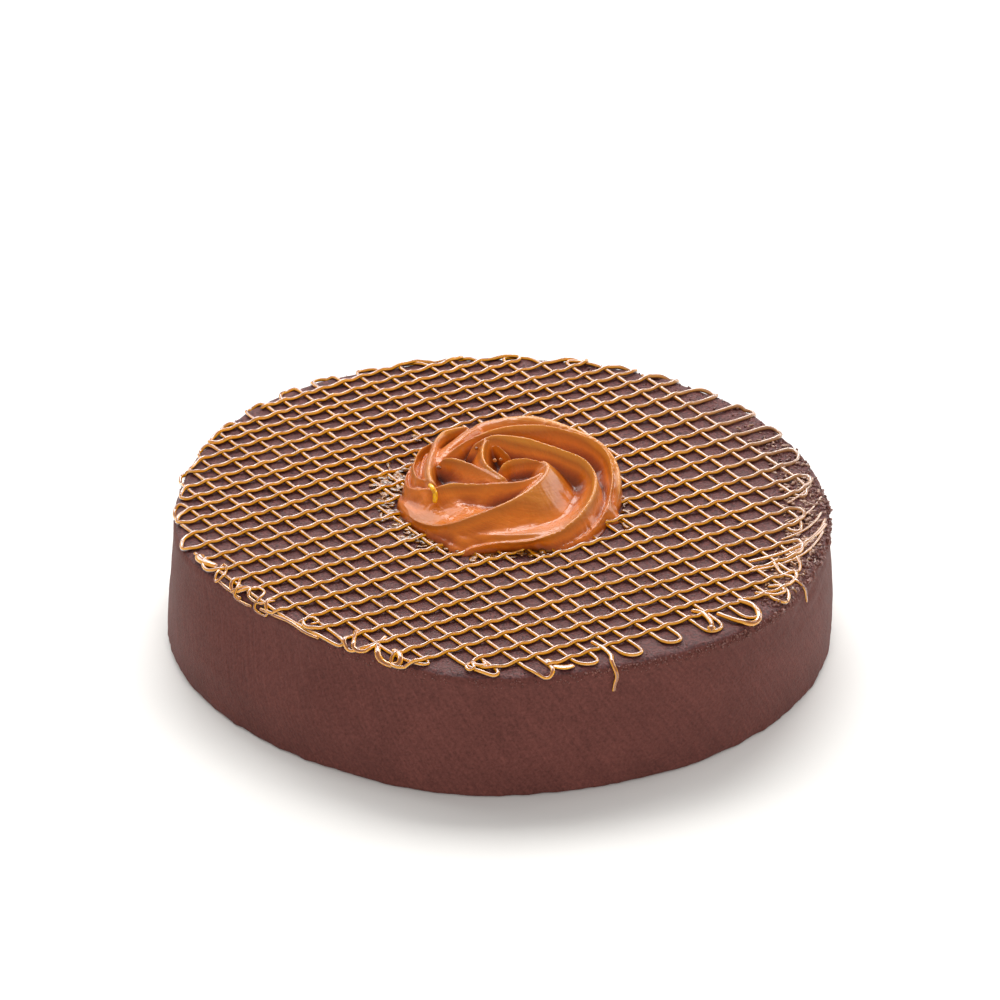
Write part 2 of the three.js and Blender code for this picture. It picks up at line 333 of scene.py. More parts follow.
GANACHES = {
    "smoothed_wall": ("#5b332d", "#78453e", 0.2, 0.6, 0.8),
    "chilled_top": ("#341819", "#7e4642", 0.35, 0.45, 0.15),
    "torn_edge": ("#54291f", "#985c4e", 0.9, 0.32, 0.0),
}
wall_ganache, top_ganache, torn_ganache = (
    spread_ganache("chocolate_ganache_" + name, *recipe) for name, recipe in GANACHES.items())
print("materials:", wall_ganache.name, top_ganache.name, torn_ganache.name)

# %% [markdown]
# Soft caramel is sugar, butter and cream cooked to a paste that still flows. Light enters it and comes
# out again nearby, warmer, and its skin is glossy (IOR near 1.48, like sugar syrup). A thin strand's
# colour is set by the place on its section: painted light makes its flanks bright yellow, as if light
# shone through them, and painted shade makes its top darker and its underside dark brown. The coat's
# IOR is raised to 2.0, which gave the bright lines that the strands have in the photograph. Where a
# strand has dulled it is rougher, and it is painted paler there as a sheen.

# %% Caramel, cooked soft and piped
def piped_caramel():
    material, tree = new_material("soft_caramel_piped_thin")
    where = add_node(tree, "TexCoord").outputs["Object"]
    flank = add_node(tree, "Attribute", {"attribute_name": "flank"}).outputs["Fac"]
    dull = add_node(tree, "Attribute", {"attribute_name": "dull"}).outputs["Fac"]
    cloud = add_node(tree, "TexNoise", {"Scale": 1 / (5 * MM), "Detail": 3.0}, Vector=where)
    drift = add_node(tree, "MapRange", {"To Min": -0.1, "To Max": 0.1}, Value=cloud)
    depth = add_node(tree, "Math", {"operation": "ADD"}, i0=flank, i1=drift)
    # painted light and shade across the section: a darker top, bright yellow flanks as light shining
    # through, a dark brown underside as shade
    clear = colour_ramp(tree, [(0.0, "#8a4a08"), (0.05, "#a05a04"), (0.13, "#e09000"),
                               (0.38, "#ffb400"), (0.5, "#bc7200"), (0.62, "#341804")], depth)
    # painted sheen: dulled strands are painted paler, besides being rougher; the ramp also darkens
    # underneath as painted shade
    frosted_sheen_and_shade = colour_ramp(tree, [(0.0, "#a97f62"), (0.5, "#b27a44"), (0.9, "#7c4e2e")], depth)
    colour = add_node(tree, "Mix", {"data_type": "RGBA"}, i0=dull, i6=clear, i7=frosted_sheen_and_shade)
    rough = add_node(tree, "MapRange", {"To Min": 0.12, "To Max": 0.5}, Value=dull)
    ripple = add_node(tree, "TexNoise", {"Scale": 1 / (1.4 * MM), "Detail": 3.0}, Vector=where)
    relief = add_node(tree, "Bump", {"Strength": 0.15, "Distance": 0.3 * MM}, Height=ripple)
    skin = add_node(tree, "BsdfPrincipled", {
        "IOR": 1.48,
        "Subsurface Weight": 0.15,
        "Subsurface Radius": (1.0, 0.45, 0.1),
        "Subsurface Scale": 1.0 * MM,
        "Specular IOR Level": 0.4,
        "Coat Weight": 1.0,
        "Coat IOR": 2.0,
        "Coat Roughness": 0.04,
    }, Base_Color=colour.outputs[2], Roughness=rough, Normal=relief)
    add_node(tree, "OutputMaterial", Surface=skin)
    return material


strand_caramel = piped_caramel()
print("material:", strand_caramel.name)

# %% [markdown]
# Where the caramel tore it lies thin, so the dark ganache shows through it and it looks like
# brown glass. Syrup that ran out of it is clearer and yellower. Both are smooth as glass.

# %% Torn caramel and clear syrup
def glassy_caramel(name, dark, light, dull_sheen_colour):
    material, tree = new_material(name)
    where = add_node(tree, "TexCoord").outputs["Object"]
    dull = add_node(tree, "Attribute", {"attribute_name": "dull"}).outputs["Fac"]
    cloud = add_node(tree, "TexNoise", {"Scale": 1 / (1.6 * MM), "Detail": 3.0}, Vector=where)
    clear = colour_ramp(tree, [(0.35, dark), (0.62, light)], cloud)
    # painted sheen: where the caramel has dulled it is painted paler, besides being rougher
    colour = add_node(tree, "Mix", {"data_type": "RGBA", 7: linear(dull_sheen_colour)}, i0=dull, i6=clear)
    rough = add_node(tree, "MapRange", {"To Min": 0.1, "To Max": 0.55}, Value=dull)
    relief = add_node(tree, "Bump", {"Strength": 0.5, "Distance": 0.3 * MM}, Height=cloud)
    skin = add_node(tree, "BsdfPrincipled", {"IOR": 1.48, "Specular IOR Level": 0.7},
                    Base_Color=colour.outputs[2], Roughness=rough, Normal=relief)
    add_node(tree, "OutputMaterial", Surface=skin)
    return material


torn_caramel = glassy_caramel("soft_caramel_torn_thin", "#36190a", "#9c6014", "#9a7460")
clear_syrup = glassy_caramel("clear_sugar_syrup", "#d88e00", "#ffc410", "#d08a04")
droplet_syrup = glassy_caramel("brown_sugar_syrup", "#7a3a0e", "#b4661c", "#d08a04")
print("materials:", torn_caramel.name, clear_syrup.name, droplet_syrup.name)

# %% [markdown]
# Piped thick, the same caramel is orange. It is painted lighter on its crests and deep brown in its
# folds, as painted shade where the folds lie in shadow. The mesh says how deep each point lies. The
# nozzle also leaves fine lines along the swirl. The thin coat is the film of syrup on its skin.

# %% Caramel piped thick
def thick_caramel():
    material, tree = new_material("soft_caramel_piped_thick")
    where = add_node(tree, "TexCoord").outputs["Object"]
    hollow = add_node(tree, "Attribute", {"attribute_name": "hollow"}).outputs["Fac"]
    cloud = add_node(tree, "TexNoise", {"Scale": 1 / (9 * MM), "Detail": 3.0}, Vector=where)
    spread = add_node(tree, "MapRange", {"To Min": -0.08, "To Max": 0.08}, Value=cloud)
    depth = add_node(tree, "Math", {"operation": "ADD"}, i0=hollow, i1=spread)
    # painted shade: the colour darkens from the crests into the deepest folds
    colour = colour_ramp(tree, [(0.0, "#cc8028"), (0.2, "#b2621a"), (0.42, "#cc6c18"),
                                (0.6, "#a0480e"), (0.84, "#421203")], depth)
    swell = add_node(tree, "TexNoise", {"Scale": 1 / (6 * MM), "Detail": 2.0}, Vector=where)
    ripple = add_node(tree, "TexNoise", {"Scale": 1 / (1.3 * MM), "Detail": 4.0}, Vector=where)
    slow = add_node(tree, "Bump", {"Strength": 0.3, "Distance": 1.0 * MM}, Height=swell)
    swirl = add_node(tree, "Attribute", {"attribute_name": "swirl"}).outputs["Vector"]
    drawn = add_node(tree, "TexNoise", {"Scale": 1.0, "Detail": 3.0}, Vector=swirl)
    lines = add_node(tree, "Bump", {"Strength": 0.5, "Distance": 0.4 * MM}, Height=drawn, Normal=slow)
    relief = add_node(tree, "Bump", {"Strength": 0.25, "Distance": 0.3 * MM}, Height=ripple,
                      Normal=lines)
    skin = add_node(tree, "BsdfPrincipled", {
        "IOR": 1.48,
        "Roughness": 0.35,
        "Specular IOR Level": 0.2,
        "Subsurface Weight": 0.1,
        "Subsurface Radius": (1.0, 0.35, 0.1),
        "Subsurface Scale": 1.0 * MM,
        "Coat Weight": 0.45,
        "Coat Roughness": 0.12,
    }, Base_Color=colour, Normal=relief)
    add_node(tree, "OutputMaterial", Surface=skin)
    return material


rosette_caramel = thick_caramel()
print("material:", rosette_caramel.name)

# %% [markdown]
# The camera comes from the photograph: a long lens from three metres away, looking down by just
# under thirty degrees and turned by half a degree about its own axis.

# %% Camera
CAMERA_AT = (2.7, -2614.7, 1486.8)  # mm
LOOKS_DOWN, TURNS_RIGHT, ROLLS = 28.795, -0.047, -0.557  # degrees
SENSOR = 36.0  # mm
FOCAL_PIXELS, FRAME_PIXELS = 8678.4, 1000

camera_data = bpy.data.cameras.new("camera")
camera_data.sensor_width = SENSOR
camera_data.lens = FOCAL_PIXELS / FRAME_PIXELS * SENSOR
camera_data.clip_start, camera_data.clip_end = 0.1, 20  # metres
camera = bpy.data.objects.new("camera", camera_data)
camera.location = [v * MM for v in CAMERA_AT]
camera.rotation_mode = "XYZ"
turn = Euler((np.radians(90 - LOOKS_DOWN), 0, np.radians(-TURNS_RIGHT))).to_matrix()
camera.rotation_euler = (turn @ Matrix.Rotation(math.radians(-ROLLS), 3, "Z")).to_euler()
bpy.context.scene.collection.objects.link(camera)
bpy.context.scene.camera = camera
print("lens, mm:", round(camera_data.lens, 1))

# %% [markdown]
# The cake's outline is a circle whose radius depends on the azimuth and the height, as in the
# frame: the shoulder is pressed in at the left front, and the wall below it swells. The baker's
# hand did that when the cake was turned out. Azimuths are in degrees from the right, and the
# front is at 270. The last function here places things on the skin, such as crumbs.

# %% The cake's outline
BACK_RISE = 1.5  # how much higher the top is at the back than at its middle
RIM_ARC = RIM_ROUND * math.pi / 4  # half of the way round the rim, along the skin


def top_radius(azimuth):
    """Radius of the rim, which is pressed in at the left front and a little at the front."""
    return (TOP_RADIUS - 8.8 * bump_at(azimuth, 223, 34) - 3.8 * bump_at(azimuth, 248, 17)
            - 2.2 * bump_at(azimuth, 290, 26) + 1.0 * bump_at(azimuth, 322, 22)
            + 2.7 * bump_at(azimuth, 137, 36) + 1.9 * bump_at(azimuth, 48, 56))


def foot_radius(azimuth):
    """Radius at the foot, where the cake sat down and spread a little at the left and front."""
    return (TIN_RADIUS + 0.9 * bump_at(azimuth, 190, 35) - 0.6 * bump_at(azimuth, 224, 22)
            + 2.3 * bump_at(azimuth, 264, 26))


def wall_radius(azimuth, z):
    swell = 0.3 * (1 - bump_at(azimuth, 180, 50)) * ease(z, 0, 13) * (1 - ease(z, 13, HEIGHT))
    foot = foot_radius(azimuth)
    shoulder = 12 * (1 - bump_at(azimuth, 180, 30))
    return foot + swell - (foot - top_radius(azimuth)) * ease(z, shoulder, HEIGHT)


def top_level(x, y):
    """Height of the ganache top without its round rim: slowly uneven, and higher at the back."""
    rise = BACK_RISE * ease(y, -30, TOP_RADIUS)
    return HEIGHT + rise + 0.25 * noise(np.stack([x, y], axis=1), 38, 11)


def top_height(x, y):
    radius = np.hypot(x, y)
    edge = top_radius(azimuth_of(x, y))
    into = np.clip(radius - (edge - RIM_ROUND), 0, RIM_ROUND)
    return top_level(x, y) - (RIM_ROUND - np.sqrt(np.clip(RIM_ROUND**2 - into**2, 0, None)))


def on_skin(azimuth, reach, lift=0.0):
    """Points on the ganache and their normals. Reach is the distance past the rim along the skin,
    negative on the top and positive down the wall. Lift raises a point along its normal."""
    edge = top_radius(azimuth)
    turn = np.clip((reach + RIM_ARC) / RIM_ROUND, 0, np.pi / 2)
    radius = edge - RIM_ROUND * (1 - np.sin(turn)) + np.minimum(reach + RIM_ARC, 0)
    down = RIM_ROUND * (1 - np.cos(turn)) + np.maximum(reach - RIM_ARC, 0)
    radius = radius + (wall_radius(azimuth, HEIGHT - down) - edge) * (down > RIM_ROUND)
    turned = np.radians(azimuth)
    out = np.stack([np.cos(turned), np.sin(turned), np.zeros(len(turned))], axis=1)
    x, y = (radius[:, None] * out[:, :2]).T
    skin = np.stack([x, y, top_level(x, y) - down], axis=1)
    normal = out * np.sin(turn)[:, None] + [0, 0, 1] * np.cos(turn)[:, None]
    return skin + normal * np.reshape(lift, (-1, 1)), normal


print("rim radius at the left front, mm:", round(float(top_radius(223)), 1))

# %% [markdown]
# The body is one grid of rings, from the underside up the wall, over the rim and in to the middle
# of the top. The rings are close together at the foot and the rim, where the skin turns fastest.

# %% Rings of the cake's body
AROUND = 640 if FINE else 320  # points in a ring
TOP_RINGS = 84 if FINE else 40
RIM_RINGS_ON_TOP = 3  # rings of the round rim that have the top's finish
RIM_TURNS = np.radians([15, 30, 45, 60, 75])
WALL_LEVELS = np.concatenate([[0.5, 1.0, 1.6, 2.3], np.linspace(3.2, HEIGHT - RIM_ROUND, 34)])
TUCK, TUCK_HEIGHT = 0.6, 1.6  # how far the foot is tucked in, and up to what height


def cake_rings():
    """Rings of points from the underside's middle to the top's."""
    azimuth = np.linspace(0, 360, AROUND, endpoint=False)
    cos, sin = np.cos(np.radians(azimuth)), np.sin(np.radians(azimuth))
    rings = []

    def add_ring(radius, z):
        level = np.broadcast_to(z, azimuth.shape)
        rings.append(np.stack([radius * cos, radius * sin, level], axis=1))

    for share in (0.3, 0.7, 0.985):
        add_ring(wall_radius(azimuth, 0.0) * share, 0.0)
    for z in WALL_LEVELS:
        add_ring(wall_radius(azimuth, z) - TUCK * (1 - min(z / TUCK_HEIGHT, 1)) ** 2, z)
    flare = wall_radius(azimuth, HEIGHT - RIM_ROUND) - top_radius(azimuth)
    for turn in RIM_TURNS:
        radius = top_radius(azimuth) - RIM_ROUND * (1 - np.cos(turn)) + flare * (1 - np.sin(turn))
        rise = top_level(radius * cos, radius * sin) - HEIGHT
        add_ring(radius, HEIGHT - RIM_ROUND * (1 - np.sin(turn)) + rise * np.sin(turn))
    for share in np.linspace(1, 0, TOP_RINGS, endpoint=False):
        radius = (top_radius(azimuth) - RIM_ROUND) * share
        add_ring(radius, top_height(radius * cos, radius * sin))
    return rings


rings = cake_rings()
print("rings:", len(rings), "of", AROUND, "points")

# %% [markdown]
# Noise then moves the skin: slow swellings and long slanted streaks on the wall, from the spatula,
# a ragged foot, a seam and a thin lip along the rim, and a lumpy top.
# At the right, where the rim tore, the lumps are larger and the wall below them is creased.

# %% The cake's body
STREAK = (1.1, 1.1, 14)  # mm across and along a streak of the spatula


def on_ring(azimuth, z, slant):
    """Points on the wall as a plain cylinder, turned with height, so that noise over them draws
    slanted streaks and has no seam."""
    turn = np.radians(azimuth) + slant * z / TIN_RADIUS
    return np.column_stack([TIN_RADIUS * np.cos(turn), TIN_RADIUS * np.sin(turn), z])


def cake_body(rings):
    """The uneven skin. Each term of out and lift is an amplitude in millimetres times noise with a
    feature size in millimetres and a seed, where a mask such as on_wall or crumbly lets it in."""
    points = np.concatenate(rings)
    x, y, z = points.T
    where = azimuth_of(x, y)
    radius = np.hypot(x, y)
    ring = on_ring(where, z, 0.35)
    on_wall = ease(z, 0.2, 3) * (1 - ease(z, HEIGHT - 2.5, HEIGHT))
    on_top = ease(z, HEIGHT - 2, HEIGHT - 0.3)
    out = on_wall * (0.35 * noise(points, 45, 21) + 0.1 * noise(ring, (30, 30, 2.6), 22)
                     + 0.07 * noise(points, 2.4, 23))
    foot = 1 - ease(z, 1.5, 4.5)
    out += foot * (radius > 100) * (0.45 * noise(points, 5, 24) + 0.25 * noise(points, 1.9, 25))
    past = radius - top_radius(where)
    rim = np.exp(-((past + 1.5) / 2.2) ** 2) * ease(z, HEIGHT - 6, HEIGHT - 3)
    crumbly = bump_at(where, 0, 62)
    out += rim * (0.25 + 0.5 * crumbly) * noise(points, 3.2, 26)
    creased = bump_at(where, 345, 34) * ease(z, 24, 38) * on_wall
    out += creased * (0.8 * noise(ring, (11, 11, 3.4), 34) + 0.4 * noise(ring, (4, 4, 1.6), 35))
    seam = np.exp(-((z - (HEIGHT - 3.4)) / 0.9) ** 2) * (past > -3)
    ragged = 0.7 + noise(ring, (5, 5, 2), 30) + 0.6 * noise(points, 2, 31)
    out += seam * (0.35 * bump_at(where, 280, 62) + 0.2) * ragged
    lift = on_top * (0.2 * noise(points, 4.4, 27) + 0.14 * noise(points, 2.6, 28))
    rough = ease(past, -26, -6) * crumbly + 0.6 * ease(past, -16, -4) * bump_at(where, 55, 60)
    lift += on_top * rough * (0.45 * noise(points, 2.9, 32) + 0.25 * np.abs(noise(points, 1.9, 33)))
    lift += rim * (0.12 + 0.5 * crumbly) * noise(points, 2.3, 29)
    points[:, 0] += out * x / np.maximum(radius, 1)
    points[:, 1] += out * y / np.maximum(radius, 1)
    points[:, 2] += lift * (radius > 1)
    faces = tube_sides(len(rings), AROUND)
    bottom, top = len(points), len(points) + 1
    points = np.vstack([points, [0, 0, 0], [0, 0, HEIGHT]])
    last = (len(rings) - 1) * AROUND
    for j in range(AROUND):
        k = (j + 1) % AROUND
        faces.append((bottom, k, j))
        faces.append((last + j, last + k, top))
    piece = add_piece("cake_body", points, faces, wall_ganache, "ganache", "cake")
    piece.data.materials.append(top_ganache)
    drawn = on_ring(where, z, 0.67) / STREAK
    write_attribute(piece.data, "spread", np.vstack([drawn, np.zeros((2, 3))]))
    first_on_top = (len(rings) - TOP_RINGS - RIM_RINGS_ON_TOP) * AROUND
    for face in piece.data.polygons:
        face.material_index = int(face.index >= first_on_top)


cake_body(rings)

# %% [markdown]
# The lattice is two sets of thin strands. Each set is piped forwards and back without lifting the
# nozzle, so neighbours are joined by a turn near the rim. The offsets of the strands from the
# cake's axis are drawn as the hand draws them: even, but never quite. At the right the strands
# stop short, where the rim was torn.

# %% Where the strands lie
LOWER_AZIMUTH, UPPER_AZIMUTH = -54.0, 34.0
LOWER_PITCH, UPPER_PITCH = 8.05, 8.9  # mm
STRAY, UPPER_STRAY = 0.35, 0.4  # mm off the even pitch, at most


def directions(azimuth):
    along = np.array([math.cos(math.radians(azimuth)), math.sin(math.radians(azimuth))])
    return along, np.array([-along[1], along[0]])


def lower_offsets(draw):
    index = np.arange(-13, 13)
    alternate = np.where(index % 2, 0.4, -0.4)
    stray = draw.uniform(-STRAY, STRAY, len(index))
    return LOWER_PITCH * index + 0.016 * index**2 - 0.9 + alternate + stray


def upper_offsets(draw):
    offsets = [0.0]
    for _ in range(14):
        last = offsets[-1]
        closer = 2.1 * ease(last, 20, 60)
        offsets.append(last + UPPER_PITCH - closer + draw.uniform(-UPPER_STRAY, UPPER_STRAY))
    for _ in range(11):
        last = offsets[0]
        closer = 1.3 * ease(-last, 72, 92)
        offsets.insert(0, last - UPPER_PITCH + closer + draw.uniform(-UPPER_STRAY, UPPER_STRAY))
    return np.array(offsets)


def farthest(azimuth):
    """How far from the axis a strand runs before it turns back."""
    margin = (1.3 + 4.2 * bump_at(azimuth, 263, 12) + 3.0 * bump_at(azimuth, 302, 24)
              + 0.8 * bump_at(azimuth, 0, 45) + 8.0 * bump_at(azimuth, 0, 28))
    return top_radius(azimuth) - margin


def run_out(along, across, offset, way, shorten):
    """How far the strand at this offset runs one way from its middle."""
    run = np.arange(0, 130, 0.25)
    spot = across * offset + np.outer(run * way, along)
    inside = np.hypot(*spot.T) < farthest(azimuth_of(*spot.T)) - shorten
    return run[inside].max() if inside.any() else 0.0


def zigzag(azimuth, offsets, draw):
    """One path of points in plan for the whole set, with its turns at the rim."""
    along, across = directions(azimuth)
    path = []
    for i, offset in enumerate(offsets):
        way = -1 if i % 2 else 1
        ends = []
        for side in (-way, way):
            shorten = 0.36 * LOWER_PITCH + draw.uniform(-1.4, 1.2)
            ends.append(across * offset + along * side * run_out(along, across, offset, side, shorten))
        start, end = ends
        if np.linalg.norm(end - start) < 2 * LOWER_PITCH:
            continue
        if path:
            last = path[-1][-1]
            middle, arm = (last + start) / 2, (last - start) / 2
            turn = np.radians(np.linspace(18, 162, 9))[:, None]
            bulge = -way * along * np.linalg.norm(arm) * draw.uniform(0.6, 1.2)
            path.append(middle + arm * np.cos(turn) + bulge * np.sin(turn))
        steps = max(3, int(np.linalg.norm(end - start) / 8))
        path.append(start + (end - start) * np.linspace(0, 1, steps)[:, None])
    return np.concatenate(path)


print("strands:", len(lower_offsets(np.random.default_rng(0))), "and",
      len(upper_offsets(np.random.default_rng(0))))

# %% [markdown]
# A strand is as thick as the nozzle's hole, fatter where the hand slowed, and has sunk a little into
# the ganache. The set piped last lies over the first: it humps over each strand below and sags between
# them, which gives the waves that catch light. Marks on the mesh tell the material where on its
# section a point lies, for the painted light and shade across the section, and how far the strand has
# dulled, for its roughness and a paler painted sheen.

# %% The strands
STRAND_HALF_WIDTH = 0.68
STRAND_HALF_HEIGHT = 0.8
STRAND_LIFT = 0.62  # from the ganache to the strand's middle: less than half its height
HUMP, HUMP_SPREAD = 0.72, 2.1
SPACING = 0.9 if FINE else 1.6
UNDER_ROSETTE = 30  # mm from the rosette's middle, where the strands are hidden
WOBBLE, WOBBLE_LENGTH = 0.35, 19  # mm sideways and along the strand
DIP = 1.9  # the most that a strand follows the rim down
SHORTEST_RUN = 4  # points


def soften(path, times):
    """The path with its corners rounded, as thick caramel rounds them."""
    for _ in range(times):
        path = np.vstack([path[:1], (path[:-2] + 2 * path[1:-1] + path[2:]) / 4, path[-1:]])
    return path


def wander(path, seed):
    """The path with slow sideways wobbles, as the hand that pipes it gives."""
    path = soften(path, 6)
    return path + np.stack([WOBBLE * noise(path, WOBBLE_LENGTH, s) for s in (seed, seed + 1)], axis=1)


def strand_runs(path, hidden):
    """The stretches of the path that aren't hidden."""
    keep = ~hidden
    edges = np.flatnonzero(np.diff(keep.astype(int))) + 1
    return [part for part in np.split(np.arange(len(path)), edges)
            if keep[part[0]] and len(part) > SHORTEST_RUN]


def strand_height(path):
    return np.maximum(top_height(*path.T), top_level(*path.T) - DIP)


def mark_strands(piece):
    """Write where on its section each point of a strand lies, from 0 at the top to 1 underneath, which
    sets the painted light and shade across the section, and how far the strand has dulled, which it
    has towards the right and the back: there it is rougher and painted paler as a sheen."""
    x, y = (read_points(piece.data)[:, :2] - AXIS).T
    angle = np.arange(len(x)) % SIDES * 2 * np.pi / SIDES
    write_attribute(piece.data, "flank", 0.5 - 0.5 * np.sin(angle))
    dull = bump_at(azimuth_of(x, y), 22, 72) * ease(np.hypot(x, y), 72, 112)
    write_attribute(piece.data, "dull", dull)


def lay_strands(name, path, lift, thick, seed):
    height = strand_height(path) + lift
    under_rosette = np.hypot(*(path - ROSETTE_AT).T) < UNDER_ROSETTE
    parts = []
    for part in strand_runs(path, under_rosette):
        run = np.column_stack([path[part], height[part]])
        fat = 1 + 0.2 * noise(run, 6, seed) + 0.1 * noise(run, 2.2, seed + 1)
        parts.append(sweep(run, STRAND_HALF_WIDTH * thick * fat, STRAND_HALF_HEIGHT * thick * fat))
    mark_strands(add_piece(name, *join(parts), strand_caramel, "caramel"))


def hump_over(path, below):
    """How high a strand is lifted where it crosses the strands below it."""
    tree = KDTree(len(below))
    for i, (x, y) in enumerate(below):
        tree.insert((x, y, 0), i)
    tree.balance()
    away = np.array([tree.find((x, y, 0))[2] for x, y in path])
    return HUMP * np.exp(-((away / HUMP_SPREAD) ** 2))


draw = np.random.default_rng(34)
lower_at = lower_offsets(draw)
lower_path = wander(resample(zigzag(LOWER_AZIMUTH, lower_at, draw), SPACING), 41)
upper_at = upper_offsets(draw)
upper_path = wander(resample(zigzag(UPPER_AZIMUTH, upper_at, draw), SPACING), 43)
lay_strands("lattice_lower", lower_path, STRAND_LIFT, 0.92, 51)
lift = STRAND_LIFT + 0.1 + hump_over(upper_path, lower_path)
lay_strands("lattice_upper", upper_path, lift, 1.0, 53)

# %% [markdown]
# Where the piping bag was slowed, lifted or dragged, the strands end in turns, curls, a ball, two
# drips and a few long sweeps. Each is a short thread along the ganache's skin. Its knots give the
# azimuth in degrees, the distance past the rim and the lift above the ganache in millimetres.

# %% Threads laid one by one at the rim
DEGREE = TOP_RADIUS * math.pi / 180  # length of one degree along the rim

# Half width, half height, share of the width left at the end, and the knots.
THREADS = {
    "front_drip": (0.85, 0.8, 0.7, [
        (288.6, -15, 1.3), (290, -9.6, 1.2), (290.5, -4.6, 1.0), (290.0, -1, 0.8), (290.5, 3, 0.6),
        (290.1, 6, 0.5), (289.8, 8.6, 0.5)]),
    "right_drip": (0.8, 0.7, 0.55, [
        (340, -14, 1.2), (336.4, -8.6, 1.1), (336, -4.4, 1.0), (335, -1.2, 0.8), (335.2, 2.5, 0.6),
        (336, 6.8, 0.4)]),
    "stub": (0.85, 0.85, 1.0, [
        (313, -19, 1.3), (314, -15.2, 1.2), (313, -9.2, 1.0), (311.4, -5.6, 1.0)]),
    "stub_ball": (1.45, 1.3, 1.0, [
        (311.8, -6.4, 1.1), (311.2, -5.2, 1.2), (310.8, -4, 1.0)]),
    "left_blob": (1.75, 1.15, 0.75, [
        (197.6, -3.2, 0.8), (199.2, -2.2, 0.9), (201, -2.6, 1.0), (203, -4.4, 1.0)]),
    "left_loop": (0.5, 0.5, 0.9, [
        (202.6, -6.8, 1), (205, -2.4, 1.4), (206.8, 0.2, 1.2), (207.4, -1.4, 1.8),
        (204.4, -6.3, 1.5), (202.6, -7.2, 1.2)]),
    "left_edge": (0.5, 0.5, 1.0, [
        (206.4, -0.4, 0.8), (210, 0.2, 0.7), (214, 0.9, 0.7)]),
    "curl_a": (0.55, 0.5, 0.8, [
        (209, -5.7, 1), (212, -0.8, 1.4), (212.6, 1.2, 0.9), (215, 1.6, 0.7), (217, 1.4, 0.6)]),
    "curl_b": (0.6, 0.55, 0.8, [
        (214, -1.8, 1.1), (213.8, -5.2, 1.2), (216.4, -5, 1.6), (217.6, -1.5, 1.2), (218, 1.6, 0.7),
        (220.6, 2, 0.6), (221.6, 0.4, 1)]),
    "curl_c": (0.5, 0.5, 0.8, [
        (211, 0.8, 0.8), (213.5, -3, 1.7), (215.5, -0.6, 1.3), (219, -0.6, 1), (220.4, -3.8, 1.2)]),
    "along_rim": (0.6, 0.6, 0.9, [
        (219, 0.8, 0.7), (222, 0.6, 0.6), (227, 0, 0.7), (231, 0.3, 0.7), (235, 0.2, 0.8)]),
    "curl_d": (0.55, 0.5, 0.9, [
        (229, -0.5, 0.8), (229.5, -4.1, 1.2), (230.6, -6, 1.3), (232.4, -4.8, 1.6),
        (231.6, -2, 1.4)]),
    "turn_front_left": (0.85, 0.8, 0.9, [
        (240, -9, 1.1), (241.4, -3.6, 1), (242.6, -0.4, 0.8), (245, -0.8, 0.9), (246, -5, 1.1),
        (246.4, -11, 1.2)]),
    "end_front_left": (0.9, 0.75, 1.2, [
        (246, -6, 1), (247.6, -0.4, 0.8), (250, 1, 0.7), (252, -0.2, 0.9), (251.4, -2.8, 1.3),
        (249.6, -4.4, 1.2)]),
    "knot_a": (0.6, 0.6, 0.9, [
        (264.4, -7, 1.1), (264, -4.4, 1.2), (264.6, -2.6, 0.9), (265.4, -3.6, 1.4),
        (265, -6, 1.9)]),
    "knot_b": (0.7, 0.65, 0.9, [
        (265, -7.4, 1.2), (266, -5, 1.5), (267.4, -5.8, 1.3), (266.8, -8.2, 1.4)]),
    "smear_front": (1.5, 0.5, 0.8, [
        (278.6, -9, 0.6), (279.6, -4.5, 0.5), (281.4, -2.6, 0.4), (283.4, -3.2, 0.4)]),
    "turn_right": (0.95, 0.85, 1.0, [
        (316, -12.1, 1.2), (316.8, -4, 1), (318, -0.8, 0.8), (320.4, -0.8, 0.8), (322.4, -4.4, 1),
        (323, -8.5, 1.2), (322.6, -13, 1.2)]),
    "loop_right": (0.7, 0.65, 0.9, [
        (327, -11, 1.2), (328.4, -5, 1.1), (330.4, -2.8, 1), (331.6, -5.6, 1.3), (330.2, -9, 1.5)]),
    "sweep_right": (0.75, 0.6, 1.2, [
        (338, -22, 1.1), (343, -14, 1.1), (348, -8, 0.9), (353, -3.4, 0.7), (357, -1.2, 0.7)]),
    "sweep_right_low": (0.6, 0.5, 0.8, [
        (334, -20, 1.1), (339, -12, 1), (344.6, -6, 0.8), (350, -3, 0.7), (354.4, -1.6, 0.6)]),
    "sweep_a": (0.5, 0.4, 0.9, [
        (349, -15, 1.2), (353, -9, 0.9), (357, -5, 0.7), (361, -2.4, 0.6)]),
    "sweep_b": (0.45, 0.35, 0.8, [
        (356, -14, 1.2), (360, -8, 0.8), (364, -4, 0.6), (367, -1.5, 0.5)]),
    "sweep_c": (0.45, 0.35, 0.8, [
        (364, -14, 1.2), (368, -8, 0.8), (371, -4.4, 0.6), (374, -2, 0.5)]),
    "sweep_d": (0.5, 0.4, 1.0, [
        (343, -11, 1.1), (348, -6.5, 0.8), (353, -3.4, 0.6), (359, -1.2, 0.5)]),
}


def lay_thread(half_width, half_height, left_over, knots, seed):
    azimuth, reach, lift = np.array(knots, float).T
    path = smooth_path(np.column_stack([azimuth * DEGREE, reach, lift]), 0.45)
    spots, normals = on_skin(path[:, 0] / DEGREE, path[:, 1], path[:, 2])
    fat = (1 + 0.2 * noise(spots, 3.1, seed)) * np.linspace(1, left_over, len(spots))
    return sweep(spots, half_width * fat, half_height * fat, normals)


threads = [lay_thread(*thread, seed) for seed, thread in enumerate(THREADS.values(), 70)]
mark_strands(add_piece("rim_threads", *join(threads), strand_caramel, "caramel"))

# %% [markdown]
# Caramel that was dragged or dropped lies on the lattice in torn shreds: left of the rosette, in
# front of it, and where it dulled and crumbled at the right rim. They are many and alike, so a
# seeded draw places them by a rule: a region, a size, and a path that changes its heading.

